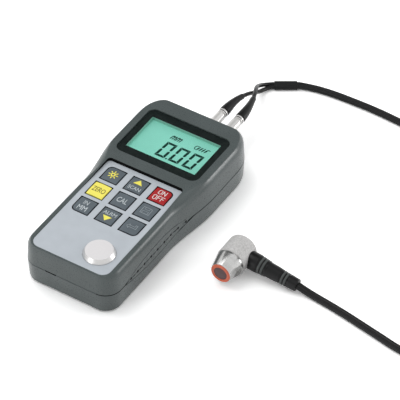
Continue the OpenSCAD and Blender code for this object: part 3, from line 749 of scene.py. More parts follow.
@dataclass(frozen=True)
class LatheFinish(Finish):
    """Turned metal with fine rings round an upright axis.

    Attributes:
        centre: The axis in plan, in millimetres.
    """

    centre: Flat = (0.0, 0.0)

    def noise(self, tree: Tree, size: float, detail: float) -> Node:
        """Adds noise that depends only on the distance from the axis.

        Args:
            tree: The material's node tree.
            size: Size of the noise in millimetres.
            detail: Its levels of detail.

        Returns:
            The noise node.
        """
        place = add_node(tree, "TexCoord")
        centred = add_node(tree, "Mapping", {"Location": (-self.centre[0] * MM, -self.centre[1] * MM, 0)})
        flat = add_node(tree, "VectorMath", {1: (1, 1, 0)}, "MULTIPLY")
        radius = add_node(tree, "VectorMath", does="LENGTH")
        noise = add_node(tree, "TexNoise", {"Scale": 1 / (size * MM), "Detail": detail})
        noise.noise_dimensions = "1D"
        tree.links.new(place.outputs["Object"], centred.inputs["Vector"])
        tree.links.new(centred.outputs["Vector"], flat.inputs[0])
        tree.links.new(flat.outputs["Vector"], radius.inputs[0])
        tree.links.new(radius.outputs["Value"], noise.inputs["W"])
        return noise


@dataclass(frozen=True)
class ClearFinish(Finish):
    """A clear pane: what lies behind it, under a faint reflection of the strength of specular."""

    def wire(self, tree: Tree) -> None:
        """Wires a mix of see-through and gloss.

        Args:
            tree: The material's node tree.
        """
        tree.nodes.remove(tree.nodes["Principled BSDF"])
        through = add_node(tree, "BsdfTransparent", {"Color": linear(self.tint)})
        gloss = add_node(tree, "BsdfGlossy", {"Roughness": self.roughness})
        mix = add_node(tree, "MixShader", {"Fac": self.specular})
        bump = self.bumps(tree, self.noise(tree, self.grain, 2.0))
        tree.links.new(bump.outputs["Normal"], gloss.inputs["Normal"])
        tree.links.new(through.outputs["BSDF"], mix.inputs[1])
        tree.links.new(gloss.outputs["BSDF"], mix.inputs[2])
        tree.links.new(mix.outputs["Shader"], tree.nodes["Material Output"].inputs["Surface"])


CASE_PLASTIC = Finish("case_plastic", (85, 93, 93), 0.29, specular=0.4, grain=0.5, relief=0.015, mottle=0.05)
COVER_PLASTIC = Finish("cover_plastic", (85, 93, 93), 0.4, specular=0.4, grain=0.5, relief=0.02, mottle=0.05)
# Painted shade: dark laid on the parting line's bevels and the groove round each side grip
SEAM_SHADE = Finish("seam_painted_shade", (20, 23, 23), 0.6, specular=0.15, grain=0.3, relief=0.004)
# Painted shade: black laid where shade falls, in hollows, grooves, gaps and on the grip pips
SHADE_BLACK = Finish("painted_shade_black", (10, 11, 12), 0.7, specular=0.1, grain=0.3, relief=0.004)
SCREW_STEEL = Finish("screw_steel", (150, 151, 152), 0.32, metallic=1.0, grain=0.2, relief=0.004)
WINDOW = ClearFinish("window", (252, 254, 253), 0.06, specular=0.015, grain=20.0, relief=0.002)
MASK_INK = Finish("mask_ink", (24, 31, 31), 0.4, specular=0.2, grain=0.3, relief=0.002)
# Painted light: the display glass glows a little, though no lamp lies behind it
LCD_GLASS = Finish("lcd_glass", (136, 208, 192), 0.4, specular=0.2, grain=0.6, relief=0.001, mottle=0.03,
                   glow=0.16)
LCD_INK = Finish("lcd_ink", (2, 52, 43), 0.5, specular=0.2, grain=0.3, relief=0.001, mottle=0.1)
LINER_GREEN = Finish("liner_green", (140, 190, 176), 0.5, specular=0.2, grain=0.3, relief=0.002, mottle=0.04)
LIGHT_GUIDE = Finish("light_guide", (232, 232, 226), 0.5, grain=0.5, relief=0.005)
LABEL_FILM = Finish("label_film", (190, 197, 204), 0.4, specular=0.4, grain=0.25, relief=0.003, mottle=0.03)
KEY_GREY = Finish("key_grey", (92, 102, 109), 0.5, specular=0.35, grain=0.3, relief=0.006, mottle=0.06)
KEY_RED = Finish("key_red", (176, 20, 26), 0.45, specular=0.35, grain=0.3, relief=0.006, mottle=0.06)
KEY_YELLOW = Finish("key_yellow", (252, 240, 104), 0.45, specular=0.35, grain=0.3, relief=0.006, mottle=0.04)
INK_YELLOW = InkFinish("ink_yellow", (252, 238, 92))
INK_PALE = InkFinish("ink_pale", (200, 208, 211))
INK_FAINT = InkFinish("ink_faint", (142, 151, 156))
INK_WHITE = InkFinish("ink_white", (244, 238, 236))
INK_BLACK = InkFinish("ink_black", (20, 22, 24), specular=0.3)
INK_DARK = InkFinish("ink_dark", (94, 88, 50))
# Painted light and shade on one steel: the disc's top is a lighter, nearly non-metal copy and its cone a
# darker metal copy
DISC_TOP_LIT = LatheFinish("disc_steel", (230, 228, 229), 0.5, 0.1, grain=0.06, relief=0.001, mottle=0.012,
                         centre=DISC_CENTRE)
DISC_CONE_SHADED = LatheFinish("disc_cone_painted_shade", (208, 207, 206), 0.34, 0.95, grain=0.1, relief=0.0008, mottle=0.03,
                        centre=DISC_CENTRE)
SPRING_METAL = Finish("spring_metal", (196, 194, 188), 0.3, metallic=1.0, grain=0.4, relief=0.003)
BOARD_GREEN = Finish("board_green", (30, 104, 66), 0.4, grain=0.8, relief=0.006, mottle=0.18)
CELL_WRAP = Finish("cell_wrap", (188, 150, 78), 0.32, grain=1.2, relief=0.004, mottle=0.1)
SOCKET_METAL = Finish("socket_metal", (186, 186, 184), 0.28, metallic=1.0, grain=0.15, relief=0.002)
PLUG_METAL = Finish("plug_metal", (224, 223, 221), 0.36, 0.4, grain=0.15, relief=0.0015, stretch=(1, 12, 1))
RUBBER = Finish("rubber", (14, 15, 16), 0.38, specular=0.25, grain=0.35, relief=0.012, mottle=0.12)
# Painted highlight: pale grey laid on the boot's rib crests
RUBBER_HIGHLIGHT = Finish("rubber_painted_highlight", (74, 78, 77), 0.45, specular=0.3, grain=0.8, relief=0.002)
CABLE_JACKET = Finish("cable_jacket", (15, 16, 17), 0.38, specular=0.25, grain=0.5, relief=0.006, mottle=0.1)
SLEEVE_RUBBER = Finish("sleeve_rubber", (18, 19, 20), 0.6, specular=0.25, grain=0.3, relief=0.01, mottle=0.1)
TIE_WEAVE = Finish("tie_weave", (44, 44, 46), 0.85, specular=0.2, grain=0.5, relief=0.08, mottle=0.25,
                   stretch=(1, 3, 1))
PROBE_SATIN = Finish("probe_satin", (200, 199, 198), 0.55, 0.12, 0.15, grain=0.03, relief=0.004, mottle=0.16)
PROBE_BRIGHT = Finish("probe_bright", (196, 196, 195), 0.2, 0.85, grain=0.1, relief=0.0012,
                      stretch=(6, 1, 6))
RING_ORANGE = Finish("ring_orange", (218, 104, 72), 0.45, grain=0.3, relief=0.006)
WEAR_FACE = Finish("wear_face", (84, 60, 60), 0.5, grain=0.4, relief=0.006, mottle=0.12)
CARD_DARK = Finish("card_dark", (40, 42, 42), 0.9, specular=0.0, grain=20.0, relief=0.0)


# Camera and studio


@dataclass
class PhotoCamera:
    """The camera, at the photograph's angle.

    Attributes:
        azimuth: Degrees round Z from the foot end.
        elevation: Degrees above the floor.
        distance: Distance from the target in millimetres.
        target: Point that the middle of the frame shows.
        lens: Focal length in millimetres.
        sensor: Width of the sensor in millimetres.
        near: Distance in metres from which it shows things.
    """

    azimuth: float = 32.25
    elevation: float = 43.93
    distance: float = 1678.4
    target: Point = (22.21, 34.91, 0.0)
    lens: float = 251.9
    sensor: float = 36.0
    near: float = 0.01

    def build(self) -> None:
        """Adds the camera and makes it the scene's."""
        a, e = math.radians(self.azimuth), math.radians(self.elevation)
        back = Vector((math.sin(a) * math.cos(e), -math.cos(a) * math.cos(e), math.sin(e)))
        deselect()
        bpy.ops.object.camera_add()
        camera = bpy.context.view_layer.objects.active
        camera.name = "photo_camera"
        camera.data.lens = self.lens
        camera.data.sensor_width = self.sensor
        camera.data.clip_start = self.near
        camera.location = (Vector(self.target) + back * self.distance) * MM
        camera.rotation_euler = back.to_track_quat("Z", "Y").to_euler()
        bpy.context.scene.camera = camera


@dataclass
class Studio:
    """A white floor under soft light, with sizes and places in metres.

    Attributes:
        ambient: Light from all round.
        dimming: How much weaker it is on the dim side, and stronger on the other.
        dim_side: Direction of the dim side.
        key: Power of the light from the left, in watts.
        side: Power of the light from the right.
        fill: Power of the light from the front.
        aim: Point that the lights face.
        floor_size: Side of the floor.
        floor_drop: How far it lies below the part.
        floor_shown: Shade of the floor for the rays that show it.
        floor_bounce: Shade of the floor for the light that it throws back.
    """

    ambient: float = 0.8
    dimming: float = 0.4
    dim_side: Point = (0.68, -0.68, 0.27)
    key: float = 6.0
    side: float = 6.0
    fill: float = 3.5
    aim: Point = (0.02, 0.03, 0.0)
    floor_size: float = 12.0
    floor_drop: float = 0.00005
    floor_shown: float = 1.5
    floor_bounce: float = 0.6

    def build(self) -> None:
        """Adds floor, world, lights and dark cards."""
        bpy.context.scene.view_settings.view_transform = "Standard"
        self.floor()
        self.world()
        self.light("key", (-0.75, 0.0, 1.4), 1.0, self.key)
        self.light("side", (1.25, 1.0, 0.28), 0.4, self.side)
        self.light("fill", (-0.6, -1.4, 0.3), 0.45, self.fill)
        self.card("dark_card", (-0.62, 1.0, 1.14), 1.3)
        self.card("side_card", (1.0, 0.91, 0.68), 0.6)
        self.card("foot_card", (-0.58, -1.05, 0.98), 0.6)

    def shown(self, tree: Tree) -> bpy.types.NodeSocket:
        """Tells the rays that show the background from those that light the object.

        Args:
            tree: Node tree of the floor or the world.

        Returns:
            1 for camera, glossy and transmission rays, and 0 for the rest.
        """
        path = add_node(tree, "LightPath")
        shown = path.outputs["Is Camera Ray"]
        for ray in ("Is Glossy Ray", "Is Transmission Ray"):
            either = add_node(tree, "Math", does="MAXIMUM")
            tree.links.new(shown, either.inputs[0])
            tree.links.new(path.outputs[ray], either.inputs[1])
            shown = either.outputs[0]
        return shown

    def floor(self) -> None:
        """Adds the floor, which looks whiter than the light that it throws back."""
        deselect()
        bpy.ops.mesh.primitive_plane_add(size=self.floor_size, location=(0, 0, -self.floor_drop))
        floor = bpy.context.view_layer.objects.active
        floor.name = "floor"
        white = bpy.data.materials.new("floor_white")
        white.use_nodes = True
        tree = white.node_tree
        tree.nodes.remove(tree.nodes["Principled BSDF"])
        matt = add_node(tree, "BsdfDiffuse")
        shade = add_node(tree, "MapRange", {"To Min": self.floor_bounce, "To Max": self.floor_shown})
        tree.links.new(self.shown(tree), shade.inputs["Value"])
        tree.links.new(shade.outputs["Result"], matt.inputs["Color"])
        tree.links.new(matt.outputs["BSDF"], tree.nodes["Material Output"].inputs["Surface"])
        floor.data.materials.append(white)

    def world(self) -> None:
        """Adds a world that looks white and gives soft light, weaker from the front right."""
        world = bpy.data.worlds.new("studio")
        world.use_nodes = True
        bpy.context.scene.world = world
        tree = world.node_tree
        sky = tree.nodes["Background"]
        sky.inputs["Color"].default_value = (1, 1, 1, 1)
        where = add_node(tree, "TexCoord")
        side = add_node(tree, "VectorMath", {1: self.dim_side}, "DOT_PRODUCT")
        level = add_node(tree, "MapRange", {"From Min": -1.0, "To Min": self.ambient + self.dimming,
                                            "To Max": self.ambient - self.dimming})
        strength = add_node(tree, "MapRange", {"To Max": 1.0})
        tree.links.new(where.outputs["Generated"], side.inputs[0])
        tree.links.new(side.outputs["Value"], level.inputs["Value"])
        tree.links.new(level.outputs["Result"], strength.inputs["To Min"])
        tree.links.new(self.shown(tree), strength.inputs["Value"])
        tree.links.new(strength.outputs["Result"], sky.inputs["Strength"])

    def card(self, name: str, at: Point, size: float) -> None:
        """Adds a dark card that only shows in reflections.

        Args:
            name: Its name.
            at: Its place; it faces the origin.
            size: Its side.
        """
        deselect()
        bpy.ops.mesh.primitive_plane_add(size=size, location=at)
        card = bpy.context.view_layer.objects.active
        card.name = name
        card.rotation_euler = Vector(at).to_track_quat("Z", "Y").to_euler()
        card.data.materials.append(CARD_DARK.material())
        card.visible_camera = False
        card.visible_diffuse = False
        card.visible_shadow = False

    def light(self, name: str, at: Point, size: float, power: float) -> None:
        """Adds a soft square light.

        Args:
            name: Its name.
            at: Its place.
            size: Its side.
            power: Its power in watts.
        """
        deselect()
        bpy.ops.object.light_add(type="AREA", location=at)
        lamp = bpy.context.view_layer.objects.active
        lamp.name = name
        lamp.data.size = size
        lamp.data.energy = power
        lamp.rotation_euler = (Vector(at) - Vector(self.aim)).to_track_quat("Z", "Y").to_euler()


# Plugs


@dataclass
class Plug:
    """One plug: sliding sleeve, rear nut and bend boot.

    Attributes:
        side: Left or right.
        x: Its axis across the case.
        bend: Points of its boot from the nut on.
        z: Height of its axis.
        bore_r: Radius of the bore in sleeve and nut.
        sleeve_y: Start of the sleeve.
        sleeve_l: Length of the sleeve.
        sleeve_r: Radius of the sleeve.
        nut_y: Start of the nut.
        nut_l: Length of the nut.
        nut_r: Radius of the nut.
        nut_edge: Bevel of the nut's ends.
        groove: Start and end of the groove round the nut.
        groove_r: Radius of the groove's floor.
        boot_y: Start of the boot.
        boot_d: Diameter of the boot at the nut.
        boot_end_d: Diameter of the boot at the lead.
        boot_lips: How far the boot's start and end are rounded in.
        lip_share: Share of the boot's length that each rounding takes.
    """

    side: Side
    x: float
    bend: tuple[Point, ...]
    z: float = 19.0
    bore_r: float = 2.56
    sleeve_y: float = 77.2
    sleeve_l: float = 10.4
    sleeve_r: float = 3.2
    nut_y: float = 88.7
    nut_l: float = 2.5
    nut_r: float = 3.05
    nut_edge: float = 0.15
    groove: Flat = (0.7, 1.3)
    groove_r: float = 2.85
    boot_y: float = 91.3
    boot_d: float = 6.6
    boot_end_d: float = 3.6
    boot_lips: Flat = (0.3, 0.25)
    lip_share: float = 0.03

    def build(self) -> list[Piece]:
        """Builds the plug's pieces.

        Returns:
            All its pieces, with its CAD core.
        """
        start = Vector((self.x, self.boot_y, self.z))
        path = smooth_route([tuple(start + Vector(p)) for p in self.bend], step=0.8)
        side = self.side.value
        sleeve = self.sleeve(f"plug_sleeve_{side}")
        nut = self.nut()
        boot = swept(path, self.boot_section)
        smooth(boot, 40)
        settle(boot, f"bend_boot_{side}", RUBBER, [f"plug_boot_{side}"])
        return [frame["nodes"][f"plug_core_{side}"], sleeve, nut, boot]

    def sleeve(self, node: str) -> Piece:
        """Turns the sliding sleeve.

        Args:
            node: Its CAD node, which names its body too.

        Returns:
            The sleeve.
        """
        edge_in, edge = 0.25, 0.3
        rim = self.sleeve_r - edge_in
        profile = [(self.bore_r, 0), (rim, 0), (self.sleeve_r, edge), (self.sleeve_r, self.sleeve_l - edge),
                   (rim, self.sleeve_l), (self.bore_r, self.sleeve_l), (self.bore_r, 0)]
        sleeve = turned_along(profile, steps=64, shade=30, at=(self.x, self.sleeve_y, self.z))
        return settle(sleeve, f"sliding_sleeve_{self.side.value}", PLUG_METAL, [node], node)

    def nut(self) -> Piece:
        """Turns the rear nut, with painted shade in the groove round it and on its back end.

        Returns:
            The nut.
        """
        rim = self.nut_r - self.nut_edge
        slope = 0.1
        first, last = self.groove
        profile = [(self.bore_r, 0), (rim, 0), (self.nut_r, self.nut_edge), (self.nut_r, first),
                   (self.groove_r, first + slope), (self.groove_r, last - slope), (self.nut_r, last),
                   (self.nut_r, self.nut_l - self.nut_edge), (rim, self.nut_l), (self.bore_r, self.nut_l),
                   (self.bore_r, 0)]
        nut = turned_along(profile, steps=64, shade=30, at=(self.x, self.nut_y, self.z))
        settle(nut, f"rear_nut_{self.side.value}", PLUG_METAL, [f"plug_nut_{self.side.value}"])
        # Painted shade in the nut's groove and on its back end, towards the boot
        tint_faces(nut, SHADE_BLACK, self.is_dark)
        return nut

    def is_dark(self, middle: Vector, _normal: Vector) -> bool:
        """Tells the nut's groove and its back end, which get painted shade.

        Args:
            middle: Middle of a face in millimetres.
            _normal: Its normal, which isn't needed.

        Returns:
            Whether the face gets painted shade.
        """
        room = 0.1
        along = middle.y - self.nut_y
        return self.groove[0] - room < along < self.groove[1] + room or along > self.nut_l - 2 * room

    def boot_section(self, share: float) -> Outline:
        """Section of the boot: a rounded lip, then a long taper.

        Args:
            share: Share of its length.

        Returns:
            The section's points.
        """
        start, end = self.boot_lips
        lip = start * (1 - blend_step(share, 0.0, self.lip_share))
        lip += end * blend_step(share, 1 - self.lip_share, 1.0)
        taper = blend_step(share, 0.0, 1.0)
        radius = (self.boot_d + (self.boot_end_d - self.boot_d) * taper) / 2 - lip
        return ring_section(radius, sides=24)


# Cable


@dataclass
class Cable:
    """The probe's cable: a twin lead, its coil, the join sleeve and two single leads.

    Attributes:
        plugs: Pieces of the plug on each single lead, by side; not used.
        lead_d: Diameter of one lead.
        coil_centre: Middle of the stored coil.
        coil_r: Mean radius of its outer turns.
        inner_r: Mean radius of its inner turns.
        low_z: Height of the coil's lower layer.
        high_z: Height of its upper layer.
        turns: Number of turns.
        turn_in: Degrees along the coil between which it winds inwards.
        turn_up: Degrees between which it climbs to the upper layer.
        turn_out: Degrees between which it winds outwards again.
        boot_tip: End of the probe's boot.
        left_tip: End of the left plug's boot.
        right_tip: End of the right plug's boot.
        sleeve_mid: Middle of the join sleeve.
        sleeve_turn: Its turn from X in degrees.
        sleeve_l: Its length.
        seat: Gap between a lead's end and the sleeve.
        lead_in: How far from the sleeve a lead is straight.
        shade: Sharpest edge in degrees that is shaded smooth.
        gauge_points: Route of the twin lead from the join sleeve to the coil.
        probe_points: Route of the twin lead from the probe's boot to the coil.
        left_points: Route of the left lead.
        right_points: Route of the right lead.
    """

    plugs: dict[Side, list[Piece]]
    lead_d: float = 2.6
    coil_centre: Flat = (178.0, 98.0)
    coil_r: float = 31.7
    inner_r: float = 26.3
    low_z: float = 1.35
    high_z: float = 4.0
    turns: float = 3.25
    turn_in: Flat = (290, 365)
    turn_up: Flat = (680, 760)
    turn_out: Flat = (790, 865)
    boot_tip: Point = (110.34, 1.2, 3.95)
    left_tip: Point = (4.8, 111.9, 17.1)
    right_tip: Point = (11.6, 113.3, 17.4)
    sleeve_mid: Point = (13.4, 149.4, 1.7)
    sleeve_turn: float = 32.4
    sleeve_l: float = 14.4
    seat: float = 0.05
    lead_in: float = 1.2
    shade: float = 60.0
    gauge_points: tuple[Point, ...] = (
        (27, 156.2, 1.3), (35, 157.8, 1.3), (45, 158.8, 1.3), (57, 159.2, 1.3), (70, 159.3, 1.3),
        (84, 158.6, 1.3), (98, 157.2, 1.3), (112, 154.6, 1.3), (126, 150.2, 1.3), (140, 144, 1.3),
        (153, 137.2, 1.3), (165, 132, 1.3))
    probe_points: tuple[Point, ...] = (
        (117, 1.2, 2.2), (125, 0.6, 1.4), (134, -0.5, 1.3), (145, -2.2, 1.3), (157, -4.4, 1.3),
        (170, -6.8, 1.3), (182, -9, 1.3), (193, -9.6, 1.3), (202.5, -7, 1.3), (209.5, -0.5, 1.3),
        (213, 9, 1.3), (214, 20, 1.3), (213.6, 35, 1.3), (212.6, 50, 1.3), (211.0, 66, 1.3),
        (210.0, 84, 2.8))
    left_points: tuple[Point, ...] = (
        (5.2, 117.5, 14.8), (4.9, 123.5, 11), (4.1, 129, 7), (3.6, 134, 3.6), (4.3, 139, 1.9),
        (5.6, 142.2, 1.6))
    right_points: tuple[Point, ...] = (
        (9.2, 119, 16.2), (6.3, 125, 13.8), (3.7, 130.5, 10.2), (2, 136, 6.2), (2.2, 141, 3.2),
        (4, 144.4, 1.9))

    def build(self) -> None:
        sleeve = softened("join_sleeve", width=0.35, segments=3)
        settle(sleeve, "join_sleeve_moulded", SLEEVE_RUBBER, ["join_sleeve"])
        tie = softened("coil_tie", width=0.22)
        settle(tie, "coil_strap", TIE_WEAVE, ["coil_tie"])
        start = [self.sleeve_end(1, 0, out) for out in (self.seat, self.lead_in)]
        far = [*reversed(self.probe_points), self.boot_tip]
        path = smooth_route([*start, *self.gauge_points, *self.coil_points(), *far], step=2.5)
        twin = self.jacket("twin_lead", path, self.twin_section,
                           ["twin_lead_gauge", "twin_lead_probe", "cable_coil"])
        path.reverse()
        self.lead(Side.LEFT, [self.left_tip, *self.left_points], -1)
        self.lead(Side.RIGHT, [self.right_tip, *self.right_points], 1)

    def lead(self, side: Side, points: Sequence[Point], across: int) -> None:
        """Builds one single lead from its plug boot to the join sleeve.

        Args:
            side: Left or right.
            points: Its route from the boot on.
            across: Side of the sleeve's middle that it enters on.
        """
        ends = [self.sleeve_end(-1, across, out) for out in (self.lead_in, self.seat)]
        path = smooth_route([*points, *ends], step=1.2)
        lead = self.jacket(f"single_lead_{side.value}", path, self.single_section, [f"lead_{side.value}"])
        path.reverse()

    def jacket(self, name: str, path: Sequence[Vector], section: Section, replaces: Sequence[str]) -> Piece:
        """Sweeps a cord's jacket along its path.

        Args:
            name: Name of the piece.
            path: Its points in millimetres.
            section: Gives its section.
            replaces: CAD nodes that it stands for.

        Returns:
            The jacket.
        """
        jacket = swept(path, section)
        smooth(jacket, self.shade)
        return settle(jacket, name, CABLE_JACKET, replaces)

    def single_section(self, _share: float) -> Outline:
        """Round section of one lead, the same all along."""
        return ring_section(self.lead_d / 2, sides=16)

    def twin_section(self, _share: float) -> Outline:
        """Two leads side by side, with the groove between them.

        Args:
            _share: Share of the route that is done; the section stays the same.

        Returns:
            The section's points.
        """
        r = self.lead_d / 2
        first, step, count, overlap = -140, 28, 11, 0.98
        angles = [math.radians(first + step * k) for k in range(count)]
        right = [(r * overlap + r * math.cos(a), r * math.sin(a)) for a in angles]
        return right + [(-x, -y) for x, y in right]

    def sleeve_end(self, along: int, across: int, out: float) -> Point:
        """Finds a point in line with the join sleeve.

        Args:
            along: Which end of the sleeve.
            across: Which side of its middle.
            out: Distance from its end.

        Returns:
            The point in millimetres.
        """
        turn = math.radians(self.sleeve_turn)
        reach = along * (self.sleeve_l / 2 + out)
        side = across * self.lead_d / 2
        x, y, z = self.sleeve_mid
        return (x + reach * math.cos(turn) - side * math.sin(turn),
                y + reach * math.sin(turn) + side * math.cos(turn), z)

    def coil_points(self) -> list[Point]:
        """Works out the coil's turns, from the gauge's run to the probe's.

        Returns:
            A point every 15 degrees.
        """
        step = 15.0
        x, y = self.coil_centre
        points = []
        for k in range(int(360 * self.turns / step) + 1):
            angle = k * step
            inward = blend_step(angle, *self.turn_in) - blend_step(angle, *self.turn_out)
            up = blend_step(angle, *self.turn_up)
            r = self.coil_r + (self.inner_r - self.coil_r) * inward
            a = math.radians(90 - angle)
            points.append((x + r * math.cos(a), y + r * math.sin(a),
                           self.low_z + (self.high_z - self.low_z) * up))
        return points


# Case


@dataclass
class Case:
    """Front and rear shell, battery cover and screws.

    Attributes:
        smooth_angle: Sharpest edge in degrees that is shaded smooth.
        parting_z: Height of the line between the shells.
        seam_half: How far the parting line's bevels reach above and below it.
        seam_from: Where the painted shade on the foot wall's parting line begins.
        foot_y: The foot wall, a little inside.
        slot_ends: Ends of the slot in the foot wall's parting line.
        slot_half: Half the height of that slot.
        lens_y: Middle of a side grip.
        lens_l: Length of a side grip.
        lens_h: Height of a side grip.
        lens_groove: Inner and outer edge of the groove round a side grip, from its outline.
        dots: Number of dimples along a side grip, each with a pip.
        dot_pitch: Spacing of the dimples.
        dimple_r: Radius of a dimple's dark floor.
        dot_r: Radius of a pip.
        pin_r: Radius of the pin that seats a pip.
        pin_l: Length of that pin.
        pip_t: Thickness of a pip.
        label_half: Half the width of the label.
        label_ends: Foot and head end of the label's seat.
        label_low: Height just above the label's seat.
    """

    smooth_angle: float = 32.0
    parting_z: float = 14.2
    seam_half: float = 0.4
    seam_from: float = 13.0
    foot_y: float = -73.0
    slot_ends: Flat = (-14.3, -6.5)
    slot_half: float = 0.5
    lens_y: float = -25.6
    lens_l: float = 70.0
    lens_h: float = 9.4
    lens_groove: Flat = (-0.02, 0.38)
    # dots: Number of dimples along a side grip, each with a black pip of painted shade.
    dots: int = 9
    dot_pitch: float = 7.05
    # dimple_r: Radius of the painted shade on a dimple's floor.
    dimple_r: float = 0.6
    dot_r: float = 0.85
    pin_r: float = 0.493
    pin_l: float = 0.4
    pip_t: float = 0.18
    label_half: float = 26.6
    label_ends: Flat = (-72.6, 11.2)
    label_low: float = 27.8

    def build(self) -> None:
        """Dresses the shells, with painted shade in their seams and hollows, the cover and the screws, and
        seats the black pips of painted shade.
        """
        for node in ("front_shell", "rear_shell"):
            shell = node_copy(node)
            smooth(shell, self.smooth_angle)
            settle(shell, f"{node}_moulded", CASE_PLASTIC, [node])
            # Painted shade in the parting line and the grip grooves
            tint_faces(shell, SEAM_SHADE, self.is_seam)
            # Painted shade: black on the label's seat, the key wells, the foot slot and the dimples
            tint_faces(shell, SHADE_BLACK, self.is_hollow)
            if node == "front_shell":
                self.pips(shell)
        cover = softened("battery_cover", width=0.18)
        settle(cover, "battery_door", COVER_PLASTIC, ["battery_cover"], Body.COVER.value)
        screws = node_copy("case_screws")
        smooth(screws)
        settle(screws, "case_screws_plated", SCREW_STEEL, ["case_screws"])

    def pips(self, shell: Piece) -> None:
        """Seats a black pip in each dimple of the side grips, as painted shade.

        Args:
            shell: The front shell, whose wall they lie on.
        """
        outside, above = 60, 1.2
        edge_in, edge_down = 0.12, 0.1
        model = turned([(0, -self.pin_l), (self.pin_r, -self.pin_l), (self.pin_r, 0), (self.dot_r, 0),
                        (self.dot_r, self.pip_t - edge_down), (self.dot_r - edge_in, self.pip_t),
                        (0, self.pip_t)], steps=20)
        pips = []
        for side in (-1, 1):
            turn = Matrix.Rotation(math.radians(90 * side), 3, "Y")
            for k in range(self.dots):
                y = self.lens_y + (k - (self.dots - 1) / 2) * self.dot_pitch
                start = Vector((side * outside, y, self.parting_z + above)) * MM
                hit, place, _normal, _face = shell.ray_cast(start, Vector((-side, 0, 0)))
                if hit:
                    pips.append(placed(copied(model), turn, (place.x / MM, y, self.parting_z)))
        bpy.data.objects.remove(model)
        # The pips are black discs of painted shade in the dimples
        settle(joined(pips), "grip_shade_pips", SHADE_BLACK)

    def is_seam(self, middle: Vector, normal: Vector) -> bool:
        """Tells the bevels of the parting line and the groove round a side grip, which get painted shade.

        Args:
            middle: Middle of a face in millimetres.
            normal: Its normal.

        Returns:
            Whether the face belongs to a seam.
        """
        along, up = middle.y - self.lens_y, middle.z - self.parting_z
        if abs(up) < self.seam_half and abs(normal.z) > 0.2:
            return middle.y > self.foot_y or middle.x > self.seam_from
        radius = (self.lens_l ** 2 + self.lens_h ** 2) / (4 * self.lens_h)
        out = max(math.hypot(along, up + side * (radius - self.lens_h / 2)) - radius for side in (-1, 1))
        return self.lens_groove[0] < out < self.lens_groove[1] and abs(along) < self.lens_l / 2 + 1

    def is_hollow(self, middle: Vector, normal: Vector) -> bool:
        """Tells the walls of the label's seat and of the key wells, the slot at the foot and the dimples,
        which get painted shade.

        Args:
            middle: Middle of a face in millimetres.
            normal: Its normal.

        Returns:
            Whether the face lies in a hollow that gets painted shade.
        """
        up = middle.z - self.parting_z
        foot, head = self.label_ends
        front_wall, above_disc = 6, 20
        if abs(middle.x) < self.label_half and foot < middle.y < head and up > front_wall:
            inward = normal.x * middle.x < 0 or normal.y > 0.2 or middle.y > foot + above_disc
            seat = middle.z < self.label_low and normal.z > 0.5
            return seat or (abs(normal.z) < 0.5 and inward)
        if middle.y < self.foot_y and self.slot_ends[0] < middle.x < self.slot_ends[1]:
            if abs(up) < self.slot_half:
                return True
        step = (middle.y - self.lens_y) / self.dot_pitch
        beside = (step - round(step)) * self.dot_pitch
        return abs(step) < self.dots / 2 and math.hypot(beside, up) < self.dimple_r


# Display


